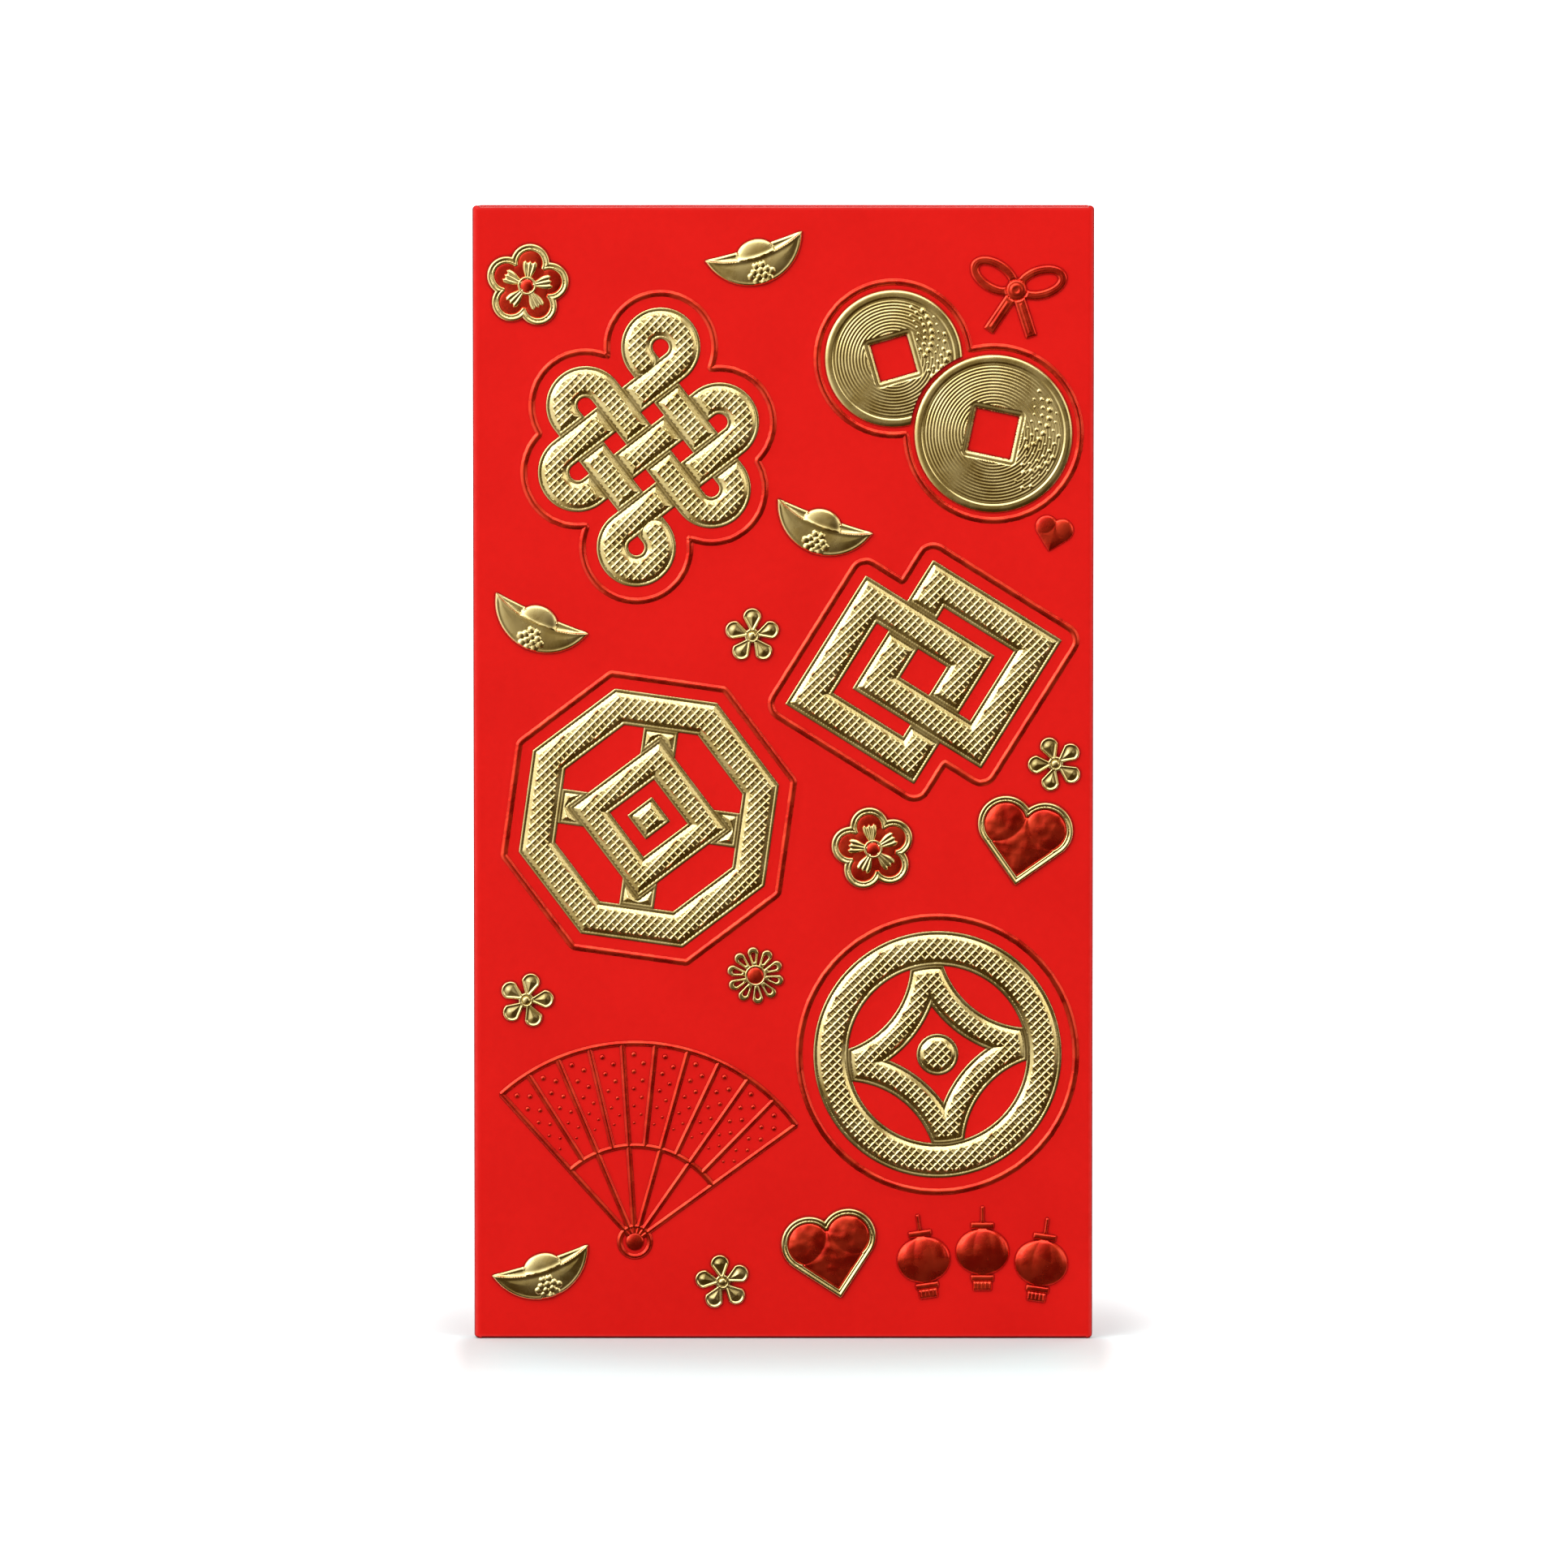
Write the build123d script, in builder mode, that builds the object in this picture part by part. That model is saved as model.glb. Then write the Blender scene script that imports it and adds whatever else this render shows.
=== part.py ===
from build123d import *
import math
import os

os.makedirs("parts", exist_ok=True)

# A red money packet: one die-cut card blank, folded into a flat pocket, glued down one side and
# along the bottom, and closed by a tongue that turns over the back on two creases. Foil ornaments
# are pressed up from its front. Millimetres, +Z up, front towards -Y, origin at the middle of the
# bottom edge.

# Packet
packet_width = 90.0
packet_height = 165.0
card = 0.35
pocket_gap = 1.4
glue_film = 0.05
corner_radius = 0.6

# Back panel
seam_inset = 1.0
mouth_drop = 2.5
foot_clearance = 0.3

# Side tab and its glue
tab_width = 14.0
tab_end_inset = 4.0
tab_taper = 6.0
side_glue_width = 8.0
side_glue_end_inset = 12.0

# Bottom fold, bottom flap and its glue
bottom_fold_inside_radius = 0.1
bottom_flap_height = 22.0
bottom_flap_inset = 2.0
bottom_flap_taper = 6.0
bottom_glue_height = 6.0
bottom_glue_inset = 3.0

# Closure
closure_flap_length = 34.0
closure_flap_taper = 7.0
closure_flap_corner = 9.0
closure_end_clearance = 0.4
closure_back_clearance = 0.3
crease_clearance = 0.05

# Large emblems and the lines around them; room shares are of the packet's width and height
emblem_relief = 0.45
emblem_bevel = 0.25
keyline_gap = 1.6
keyline_width = 1.0
keyline_relief = 0.3

knot_place_shares = (-0.217, 0.788)
knot_room_shares = (0.510, 0.279)
knot_tilt = 38.0
knot_pitch = 6.9
knot_stroke = 4.5

lozenge_place_shares = (0.226, 0.590)
lozenge_room_shares = (0.515, 0.281)
lozenge_tilt = 13.0
lozenge_side = 22.0
lozenge_stroke = 5.0
lozenge_shift = 10.0

window_place_shares = (-0.217, 0.461)
window_room_shares = (0.491, 0.268)
window_tilt = -8.0
window_sides = 8
window_across = 36.0
window_stroke = 5.0
window_bar = 5.0
window_lozenge_side = 16.5
window_lozenge_stroke = 4.2
window_stud = 4.4

ring_place_shares = (0.249, 0.252)
ring_room_shares = (0.458, 0.250)
ring_tilt = 7.0
ring_radius = 18.0
ring_stroke = 5.0
ring_arc_stroke = 4.2
ring_stud_radius = 3.0

# Pair of coins and their bow
coin_relief = 0.35
coin_rim_relief = 0.55
coin_rim = 1.3
coin_hole_rim = 0.9
coin_gap = 0.6
coin_keyline_gap = 0.6
front_coin_place_shares = (0.338, 0.800)
front_coin_tilt = -12.0
front_coin_radius = 11.5
front_coin_hole = 6.4
rear_coin_shift = 18.1
rear_coin_angle = 143.0
rear_coin_tilt = 16.0
rear_coin_radius = 10.0
rear_coin_hole = 5.6
bow_angle = 81.0
bow_clearance = 0.8
bow_tilt = -8.0
bow_relief = 0.4
bow_loop_length = 7.6
bow_loop_width = 4.8
bow_loop_band = 1.3
bow_loop_angle = 24.0
bow_knot_radius = 1.5
bow_tail_length = 7.2
bow_tail_width = 1.7
bow_tail_angle = 26.0

# Folding fan in line
fan_place_shares = (-0.240, 0.086)
fan_tilt = -6.0
fan_line = 0.8
fan_relief = 0.3
fan_leaf_outer_radius = 29.0
fan_leaf_inner_radius = 14.0
fan_handle_radius = 2.6
fan_pivot_radius = 1.3
fan_angle = 96.0
fan_pleats = 10

# Trio of lanterns
lantern_place_shares = ((0.227, 0.070), (0.322, 0.077), (0.417, 0.067))
lantern_tilts = (8.0, 0.0, -8.0)
lantern_width = 7.8
lantern_height = 6.8
lantern_relief = 0.5
lantern_round = 0.4
lantern_cap_width = 3.4
lantern_cap_height = 0.9
lantern_cord_length = 2.4
lantern_cord_width = 0.5
lantern_tassel_length = 2.8
lantern_tassel_width = 1.4
lantern_trim_relief = 0.35

# Ingots
ingot_place_shares = ((-0.400, 0.628), (-0.385, 0.055), (0.058, 0.713), (-0.040, 0.950))
ingot_tilts = (-24.0, 18.0, -20.0, 17.0)
ingot_relief = 0.45
ingot_inside_relief = 0.2
ingot_dome_relief = 0.4
ingot_length = 14.8
ingot_horn_rise = 2.6
ingot_hull_depth = 3.2
ingot_front_rim_rise = 0.8
ingot_back_rim_rise = 2.3
ingot_dome_rise = 1.2
ingot_dome_width = 5.8
ingot_dome_height = 4.6

# Plum blossoms
plum_place_shares = ((0.145, 0.434), (-0.412, 0.930))
plum_tilts = (10.0, -8.0)
petal_count = 5
plum_lobe_radius = 2.85
plum_lobe_pitch = 3.3
plum_rim = 1.1
plum_rim_relief = 0.45
plum_field_relief = 0.2
plum_petal_length = 3.2
plum_petal_width = 1.9
plum_petal_pitch = 2.0
plum_petal_relief = 0.2
plum_eye_radius = 1.0
plum_eye_relief = 0.15

# Small blossoms and the daisy
blossom_place_shares = ((-0.050, 0.622), (0.439, 0.509), (-0.415, 0.300), (-0.098, 0.050))
blossom_tilts = (0.0, 20.0, -14.0, 9.0)
blossom_relief = 0.4
blossom_petal_length = 3.5
blossom_petal_width = 2.8
blossom_petal_pitch = 2.3
blossom_heart_radius = 1.1
daisy_place_shares = (-0.045, 0.322)
daisy_tilt = 6.0
daisy_petal_count = 10
daisy_petal_length = 2.9
daisy_petal_width = 1.7
daisy_petal_pitch = 2.75
daisy_heart_radius = 2.0
daisy_relief = 0.35
daisy_eye_radius = 1.2
daisy_eye_relief = 0.2

# Hearts
heart_place_shares = ((0.385, 0.436), (0.080, 0.070))
heart_tilts = (-10.0, 12.0)
heart_side = 8.2
heart_rim = 1.0
heart_rim_relief = 0.45
heart_field_relief = 0.25
small_heart_angle = -60.0
small_heart_clearance = 0.8
small_heart_tilt = -14.0
small_heart_side = 3.3
small_heart_relief = 0.4

# Depths of the folded layers, from the front face to the back
back_depth = 2 * card + pocket_gap
tab_depth = back_depth - card - glue_film
packet_depth = back_depth + glue_film + card
front_y = -packet_depth / 2
back_y = front_y + back_depth
bottom_flap_y = front_y + packet_depth
closure_flap_y = back_y + closure_back_clearance + card

# Where the flat panels meet the side folds and the bottom fold
bottom_fold_radius = card + bottom_fold_inside_radius
left_fold_radius = back_depth / 2
right_fold_radius = tab_depth / 2
left_x = left_fold_radius - packet_width / 2
right_x = packet_width / 2 - right_fold_radius
panel_width = right_x - left_x
panel_middle_x = (left_x + right_x) / 2

# Crease axes of the closure, at the middle of the card
crease_z = packet_height - card / 2
front_crease_y = front_y + card / 2
back_crease_y = closure_flap_y - card / 2
crease_edge_drop = card / 2 + crease_clearance
closure_width = panel_width - 2 * closure_end_clearance

# How far each emblem reaches from its middle
knot_reach = 3 * knot_pitch / math.sqrt(2) + (knot_pitch + knot_stroke) / 2
lozenge_reach = lozenge_shift / 2 + lozenge_side / math.sqrt(2)
window_reach = window_across / (2 * math.cos(math.pi / window_sides))


def room_scale(reach, room_shares):
    """How much an emblem with its line has to shrink to keep to its room."""
    width_share, height_share = room_shares
    span = 2 * (reach + keyline_gap + keyline_width)
    return min(width_share * packet_width, height_share * packet_height) / span


# All ornaments shrink alike when one emblem has too little room
artwork_scale = min(
    room_scale(knot_reach, knot_room_shares),
    room_scale(lozenge_reach, lozenge_room_shares),
    room_scale(window_reach, window_room_shares),
    room_scale(ring_radius, ring_room_shares),
    1,
)


def layer(outer_y):
    """Upright plane at a depth, facing the front, with X across and Z up."""
    return Plane(origin=(0, outer_y, 0), x_dir=(1, 0, 0), z_dir=(0, -1, 0))


def place(shares, tilt, lift=0):
    """Plane on the front face at shares of the packet's width and height, turned by tilt degrees."""
    width_share, height_share = shares
    turn = math.radians(tilt)
    return Plane(
        origin=(width_share * packet_width, front_y - lift, height_share * packet_height),
        x_dir=(math.cos(turn), 0, math.sin(turn)),
        z_dir=(0, -1, 0),
    )


def beside(plane, distance, angle, tilt):
    """Plane at a drawn distance from another's origin on the front face, at an angle in degrees."""
    way = math.radians(angle)
    step = Vector(math.cos(way), 0, math.sin(way)) * distance * artwork_scale
    lean = math.radians(tilt)
    return Plane(
        origin=plane.origin + step,
        x_dir=(math.cos(lean), 0, math.sin(lean)),
        z_dir=(0, -1, 0),
    )


def arc(centre, radius, start, sweep):
    """Middle line of a curved stroke, with its angles in degrees."""
    return Edge.make_circle(radius, Plane(origin=centre), start, start + sweep)


def save(piece, name):
    """Label a finished piece and write it under its name."""
    piece.part.label = name
    export_step(piece.part, f"parts/{name}.step")


# Front panel
with BuildPart() as front_panel:
    with BuildSketch(layer(front_y)):
        with Locations((left_x, bottom_fold_radius)):
            Rectangle(
                panel_width,
                crease_z - crease_edge_drop - bottom_fold_radius,
                align=(Align.MIN, Align.MIN),
            )
    extrude(amount=-card)
save(front_panel, "front_panel")


# Side folds
def side_fold(middle_x, radius, inward):
    """Half-round fold along one side, its ends rounded to the packet's corners."""
    with BuildPart() as fold:
        with BuildSketch(Plane.XY):
            with Locations((middle_x, front_y + radius)):
                Circle(radius)
                Circle(radius - card, mode=Mode.SUBTRACT)
                Rectangle(
                    radius,
                    2 * radius,
                    align=(Align.MIN if inward > 0 else Align.MAX, Align.CENTER),
                    mode=Mode.SUBTRACT,
                )
        extrude(amount=packet_height)
        with BuildSketch(layer(front_y)):
            with Locations((0, packet_height / 2)):
                RectangleRounded(packet_width, packet_height, corner_radius)
        extrude(amount=-packet_depth, mode=Mode.INTERSECT)
    return fold


left_fold = side_fold(left_x, left_fold_radius, 1)
save(left_fold, "left_fold")
right_fold = side_fold(right_x, right_fold_radius, -1)
save(right_fold, "right_fold")

# Back panel
back_foot_z = card + foot_clearance
with BuildPart() as back_panel:
    with BuildSketch(layer(back_y)):
        with Locations((left_x, back_foot_z)):
            Rectangle(
                packet_width / 2 - seam_inset - left_x,
                packet_height - mouth_drop - back_foot_z,
                align=(Align.MIN, Align.MIN),
            )
    extrude(amount=card)
save(back_panel, "back_panel")

# Side tab, tucked inside the back panel
tab_edge_x = right_x - tab_width
tab_foot_z = tab_end_inset
tab_top_z = packet_height - mouth_drop - tab_end_inset
with BuildPart() as side_tab:
    with BuildSketch(layer(front_y + tab_depth)):
        Polygon(
            (right_x, tab_foot_z),
            (right_x, tab_top_z),
            (tab_edge_x, tab_top_z - tab_taper),
            (tab_edge_x, tab_foot_z + tab_taper),
            align=None,
        )
    extrude(amount=card)
save(side_tab, "side_tab")

# Glue between the side tab and the back panel
with BuildPart() as side_seam_glue:
    with BuildSketch(layer(front_y + tab_depth)):
        with Locations((right_x - tab_width / 2, (tab_foot_z + tab_top_z) / 2)):
            Rectangle(side_glue_width, tab_top_z - tab_foot_z - 2 * side_glue_end_inset)
    extrude(amount=-glue_film)
save(side_seam_glue, "side_seam_glue")

# Bottom fold: a flat foot with rounded edges, from the front panel round to the bottom flap
with BuildPart() as bottom_fold:
    with BuildSketch(Plane.YZ.offset(left_x)):
        with Locations((0, packet_depth)):
            RectangleRounded(packet_depth, 2 * packet_depth, bottom_fold_radius)
            RectangleRounded(
                packet_depth - 2 * card,
                2 * (packet_depth - card),
                bottom_fold_inside_radius,
                mode=Mode.SUBTRACT,
            )
        with Locations((0, bottom_fold_radius)):
            Rectangle(
                packet_depth,
                2 * packet_depth,
                align=(Align.CENTER, Align.MIN),
                mode=Mode.SUBTRACT,
            )
    extrude(amount=panel_width)
save(bottom_fold, "bottom_fold")

# Bottom flap, glued over the back panel
flap_root = panel_width - 2 * bottom_flap_inset
flap_edge = flap_root - 2 * bottom_flap_taper
with BuildPart() as bottom_flap:
    with BuildSketch(layer(bottom_flap_y)):
        Polygon(
            (panel_middle_x - flap_root / 2, bottom_fold_radius),
            (panel_middle_x + flap_root / 2, bottom_fold_radius),
            (panel_middle_x + flap_edge / 2, bottom_flap_height),
            (panel_middle_x - flap_edge / 2, bottom_flap_height),
            align=None,
        )
    extrude(amount=card)
save(bottom_flap, "bottom_flap")

# Glue between the bottom flap and the back panel
with BuildPart() as bottom_flap_glue:
    with BuildSketch(layer(back_y)):
        with Locations((panel_middle_x, bottom_flap_height - bottom_glue_inset)):
            Rectangle(
                flap_edge - 2 * bottom_glue_inset,
                bottom_glue_height,
                align=(Align.CENTER, Align.MAX),
            )
    extrude(amount=-glue_film)
save(bottom_flap_glue, "bottom_flap_glue")

# Closure spine: the narrow roof between the two creases, with a round bead on each
with BuildPart() as closure_spine:
    with BuildSketch(Plane.YZ.offset(panel_middle_x - closure_width / 2)):
        with Locations(((front_crease_y + back_crease_y) / 2, crease_z)):
            SlotCenterToCenter(back_crease_y - front_crease_y, card)
    extrude(amount=closure_width)
save(closure_spine, "closure_spine")

# Closure flap
flap_top_z = crease_z - crease_edge_drop
flap_tip_z = flap_top_z - closure_flap_length
flap_tip_width = closure_width - 2 * closure_flap_taper
with BuildPart() as closure_flap:
    with BuildSketch(layer(closure_flap_y)) as flap_outline:
        Polygon(
            (panel_middle_x - closure_width / 2, flap_top_z),
            (panel_middle_x + closure_width / 2, flap_top_z),
            (panel_middle_x + flap_tip_width / 2, flap_tip_z),
            (panel_middle_x - flap_tip_width / 2, flap_tip_z),
            align=None,
        )
        fillet(flap_outline.vertices().group_by(Axis.Y)[0], closure_flap_corner)
    extrude(amount=card)
save(closure_flap, "closure_flap")


# Large gold emblems
def rim_edges(foil):
    """Edges round the outside of a pressed piece's top faces."""
    return [edge for top in foil.faces().group_by(Axis.Y)[0] for edge in top.outer_wire().edges()]


def emblem(outline, plane):
    """Raised gold emblem with a bevelled outer edge."""
    with BuildPart() as foil:
        with BuildSketch(plane):
            outline()
            scale(by=artwork_scale)
        extrude(amount=emblem_relief)
        chamfer(rim_edges(foil), emblem_bevel)
    return foil


def keyline(silhouette, plane):
    """Thin raised line that follows a silhouette at an even distance."""
    with BuildPart() as line:
        with BuildSketch(plane):
            silhouette(keyline_gap + keyline_width)
            silhouette(keyline_gap, mode=Mode.SUBTRACT)
            scale(by=artwork_scale)
        extrude(amount=keyline_relief)
    return line


def knot_strokes(grow=0, mode=Mode.ADD):
    """Three bars woven across three, their ends joined by round loops."""
    stroke = knot_stroke + 2 * grow
    loop_radius = knot_pitch / 2
    reach = knot_pitch + loop_radius
    with GridLocations(0, knot_pitch, 1, 3):
        SlotCenterToCenter(2 * reach, stroke, mode=mode)
    with GridLocations(knot_pitch, 0, 3, 1):
        SlotCenterToCenter(2 * reach, stroke, rotation=90, mode=mode)
    with PolarLocations(0, 2):
        SlotArc(arc((reach, -loop_radius), loop_radius, -90, 180), stroke, mode=mode)
        SlotArc(arc((-loop_radius, reach), loop_radius, 0, 180), stroke, mode=mode)
        SlotArc(arc((reach, reach), loop_radius, -90, 270), stroke, mode=mode)


def lozenge_rings():
    """Two interlocked square rings standing on their corners."""
    inner = lozenge_side - 2 * lozenge_stroke
    ring = Rectangle(lozenge_side, lozenge_side, mode=Mode.PRIVATE) - Rectangle(
        inner, inner, mode=Mode.PRIVATE
    )
    with GridLocations(lozenge_shift, 0, 2, 1):
        add(ring, rotation=45)


def lozenge_silhouette(grow, mode=Mode.ADD):
    """The two lozenges filled and grown."""
    side = lozenge_side + 2 * grow
    with GridLocations(lozenge_shift, 0, 2, 1):
        RectangleRounded(side, side, grow, rotation=45, mode=mode)


def window_silhouette(grow, mode=Mode.ADD):
    """Eight-sided window standing on a flat side."""
    half_side = 180 / window_sides
    corner = (window_across / 2 + grow) / math.cos(math.radians(half_side))
    RegularPolygon(corner, window_sides, rotation=half_side, mode=mode)


def window_tracery():
    """Window frame holding a lozenge by four short bars, with a stud in its middle."""
    window_silhouette(0)
    window_silhouette(-window_stroke, mode=Mode.SUBTRACT)
    lozenge_corner = window_lozenge_side / math.sqrt(2)
    bar_reach = window_across / 2 - window_stroke
    bar_start = lozenge_corner - window_bar / 2
    with PolarLocations((bar_start + bar_reach) / 2, 4):
        Rectangle(bar_reach - bar_start + window_stroke, window_bar)
    inner = window_lozenge_side - 2 * window_lozenge_stroke
    Rectangle(window_lozenge_side, window_lozenge_side, rotation=45)
    Rectangle(inner, inner, rotation=45, mode=Mode.SUBTRACT)
    Rectangle(window_stud, window_stud, rotation=45)


def ring_silhouette(grow, mode=Mode.ADD):
    """The ring's round outline."""
    Circle(ring_radius + grow, mode=mode)


def ring_tracery():
    """Ring holding four arcs that curve in towards a round stud."""
    ring_silhouette(0)
    ring_silhouette(-ring_stroke, mode=Mode.SUBTRACT)
    reach = ring_radius - ring_stroke / 2
    with PolarLocations(0, 4):
        SlotArc(arc((reach, reach), reach, 180, 90), ring_arc_stroke)
    Circle(ring_stud_radius)


knot_plane = place(knot_place_shares, knot_tilt)
lozenge_plane = place(lozenge_place_shares, lozenge_tilt)
window_plane = place(window_place_shares, window_tilt)
ring_plane = place(ring_place_shares, ring_tilt)

save(emblem(knot_strokes, knot_plane), "knot_emblem")
save(keyline(knot_strokes, knot_plane), "knot_keyline")
save(emblem(lozenge_rings, lozenge_plane), "lozenge_emblem")
save(keyline(lozenge_silhouette, lozenge_plane), "lozenge_keyline")
save(emblem(window_tracery, window_plane), "window_emblem")
save(keyline(window_silhouette, window_plane), "window_keyline")
save(emblem(ring_tracery, ring_plane), "ring_emblem")
save(keyline(ring_silhouette, ring_plane), "ring_keyline")


# Pair of coins with square holes
def coin_field(radius, hole):
    """Flat of a coin."""
    Circle(radius)
    Rectangle(hole, hole, mode=Mode.SUBTRACT)


def coin_rims(radius, hole):
    """Raised rims round a coin and round its hole."""
    Circle(radius)
    Circle(radius - coin_rim, mode=Mode.SUBTRACT)
    Rectangle(hole + 2 * coin_hole_rim, hole + 2 * coin_hole_rim)
    Rectangle(hole, hole, mode=Mode.SUBTRACT)


front_coin_plane = place(front_coin_place_shares, front_coin_tilt)
rear_coin_plane = beside(front_coin_plane, rear_coin_shift, rear_coin_angle, rear_coin_tilt)
front_level_plane = place(front_coin_place_shares, 0)

with BuildPart() as front_coin:
    with BuildSketch(front_coin_plane):
        coin_field(front_coin_radius, front_coin_hole)
        scale(by=artwork_scale)
    extrude(amount=coin_relief)
    with BuildSketch(front_coin_plane):
        coin_rims(front_coin_radius, front_coin_hole)
        scale(by=artwork_scale)
    extrude(amount=coin_rim_relief)
save(front_coin, "front_coin")

with BuildPart() as rear_coin:
    with BuildSketch(rear_coin_plane):
        coin_field(rear_coin_radius, rear_coin_hole)
        scale(by=artwork_scale)
    extrude(amount=coin_relief)
    with BuildSketch(rear_coin_plane):
        coin_rims(rear_coin_radius, rear_coin_hole)
        scale(by=artwork_scale)
    extrude(amount=coin_rim_relief)
    with BuildSketch(front_coin_plane):
        Circle(front_coin_radius + coin_gap)
        scale(by=artwork_scale)
    extrude(amount=coin_rim_relief, mode=Mode.SUBTRACT)
save(rear_coin, "rear_coin")


def coin_silhouette(grow, mode=Mode.ADD):
    """The two coins' joined outline, about the middle of the front coin."""
    Circle(front_coin_radius + grow, mode=mode)
    with PolarLocations(rear_coin_shift, 1, start_angle=rear_coin_angle):
        Circle(rear_coin_radius + grow, mode=mode)


with BuildPart() as coin_keyline:
    with BuildSketch(front_level_plane):
        coin_silhouette(coin_keyline_gap + keyline_width)
        coin_silhouette(coin_keyline_gap, mode=Mode.SUBTRACT)
        scale(by=artwork_scale)
    extrude(amount=keyline_relief)
save(coin_keyline, "coin_keyline")

# Bow over the coins: two loops, a knot and two tails
coin_keyline_radius = front_coin_radius + coin_keyline_gap + keyline_width
bow_distance = coin_keyline_radius + bow_clearance + bow_tail_length
bow_loop_radius = bow_loop_length / 2
bow_loop_inner = bow_loop_radius - bow_loop_band
with BuildPart() as coin_bow:
    with BuildSketch(beside(front_coin_plane, bow_distance, bow_angle, bow_tilt)):
        for side, lean in ((0, bow_loop_angle), (180, -bow_loop_angle)):
            with PolarLocations(bow_loop_radius, 1, start_angle=side + lean):
                Ellipse(bow_loop_radius, bow_loop_width / 2)
                Ellipse(bow_loop_inner, bow_loop_width / 2 - bow_loop_band, mode=Mode.SUBTRACT)
        for lean in (-bow_tail_angle, bow_tail_angle):
            with PolarLocations(bow_tail_length / 2, 1, start_angle=lean - 90):
                Rectangle(bow_tail_length, bow_tail_width)
        Circle(bow_knot_radius)
        scale(by=artwork_scale)
    extrude(amount=bow_relief)
save(coin_bow, "coin_bow")

# Folding fan drawn in line
fan_start = 90 - fan_angle / 2
fan_leaf = fan_leaf_outer_radius - fan_leaf_inner_radius
fan_leaf_middle = (fan_leaf_outer_radius + fan_leaf_inner_radius) / 2
fan_stick = fan_leaf_inner_radius - fan_pivot_radius
fan_stick_middle = (fan_leaf_inner_radius + fan_pivot_radius) / 2
with BuildPart() as fan_lines:
    with BuildSketch(place(fan_place_shares, fan_tilt)):
        for radius in (fan_leaf_inner_radius, fan_leaf_outer_radius):
            SlotArc(arc((0, 0), radius, fan_start, fan_angle), fan_line)
        with PolarLocations(fan_leaf_middle, fan_pleats + 1, fan_start, fan_angle, endpoint=True):
            Rectangle(fan_leaf, fan_line)
        with PolarLocations(fan_stick_middle, fan_pleats // 2 + 1, fan_start, fan_angle, endpoint=True):
            Rectangle(fan_stick, fan_line)
        Circle(fan_handle_radius)
        Circle(fan_handle_radius - fan_line, mode=Mode.SUBTRACT)
        Circle(fan_pivot_radius)
        scale(by=artwork_scale)
    extrude(amount=fan_relief)
save(fan_lines, "fan_lines")

# Trio of lanterns: domed bodies, then caps, cords and tassels
with BuildPart() as lantern_bodies:
    for shares, tilt in zip(lantern_place_shares, lantern_tilts):
        with BuildSketch(place(shares, tilt)):
            Ellipse(lantern_width / 2, lantern_height / 2)
            scale(by=artwork_scale)
        extrude(amount=lantern_relief)
    fillet(rim_edges(lantern_bodies), lantern_round)
save(lantern_bodies, "lantern_bodies")

with BuildPart() as lantern_trims:
    for shares, tilt in zip(lantern_place_shares, lantern_tilts):
        with BuildSketch(place(shares, tilt)):
            with Locations((0, lantern_height / 2)):
                Rectangle(lantern_cap_width, lantern_cap_height, align=(Align.CENTER, Align.MIN))
            with Locations((0, lantern_height / 2 + lantern_cap_height)):
                Rectangle(
                    lantern_cord_width, lantern_cord_length, align=(Align.CENTER, Align.MIN)
                )
            with Locations((0, -lantern_height / 2)):
                Rectangle(lantern_cap_width, lantern_cap_height, align=(Align.CENTER, Align.MAX))
            with Locations((0, -lantern_height / 2 - lantern_cap_height)):
                Rectangle(
                    lantern_tassel_width, lantern_tassel_length, align=(Align.CENTER, Align.MAX)
                )
            scale(by=artwork_scale)
        extrude(amount=lantern_trim_relief)
save(lantern_trims, "lantern_trims")

# Gold ingots: a boat-shaped hull, its inside showing behind the front rim, and a dome
def between_horns(lower, upper):
    """Face between two arcs that run from horn to horn."""
    left_horn = (-ingot_length / 2, ingot_horn_rise)
    right_horn = (ingot_length / 2, ingot_horn_rise)
    with BuildLine() as rims:
        ThreePointArc(left_horn, (0, lower), right_horn)
        ThreePointArc(right_horn, (0, upper), left_horn)
    make_face(rims.edges())


with BuildPart() as gold_ingots:
    for shares, tilt in zip(ingot_place_shares, ingot_tilts):
        ingot_plane = place(shares, tilt)
        with BuildSketch(ingot_plane):
            between_horns(-ingot_hull_depth, ingot_front_rim_rise)
            scale(by=artwork_scale)
        extrude(amount=ingot_relief)
        with BuildSketch(ingot_plane):
            between_horns(ingot_front_rim_rise, ingot_back_rim_rise)
            scale(by=artwork_scale)
        extrude(amount=ingot_inside_relief)
        with BuildSketch(ingot_plane):
            with Locations((0, ingot_dome_rise)):
                Ellipse(ingot_dome_width / 2, ingot_dome_height / 2)
            scale(by=artwork_scale)
        extrude(amount=ingot_dome_relief)
save(gold_ingots, "gold_ingots")


# Plum blossoms: a gold rim, a red field, gold petals on the field and a red eye on the petals
def plum_lobes(lobe_radius, mode=Mode.ADD):
    """Five round lobes about a filled middle."""
    Circle(plum_lobe_pitch, mode=mode)
    with PolarLocations(plum_lobe_pitch, petal_count, start_angle=90):
        Circle(lobe_radius, mode=mode)


def petals(count, pitch, length, width):
    """Ring of oval petals, the first one pointing up."""
    with PolarLocations(pitch, count, start_angle=90):
        Ellipse(length / 2, width / 2)


with BuildPart() as plum_rims:
    for shares, tilt in zip(plum_place_shares, plum_tilts):
        with BuildSketch(place(shares, tilt)):
            plum_lobes(plum_lobe_radius)
            plum_lobes(plum_lobe_radius - plum_rim, mode=Mode.SUBTRACT)
            scale(by=artwork_scale)
        extrude(amount=plum_rim_relief)
save(plum_rims, "plum_rims")

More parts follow.
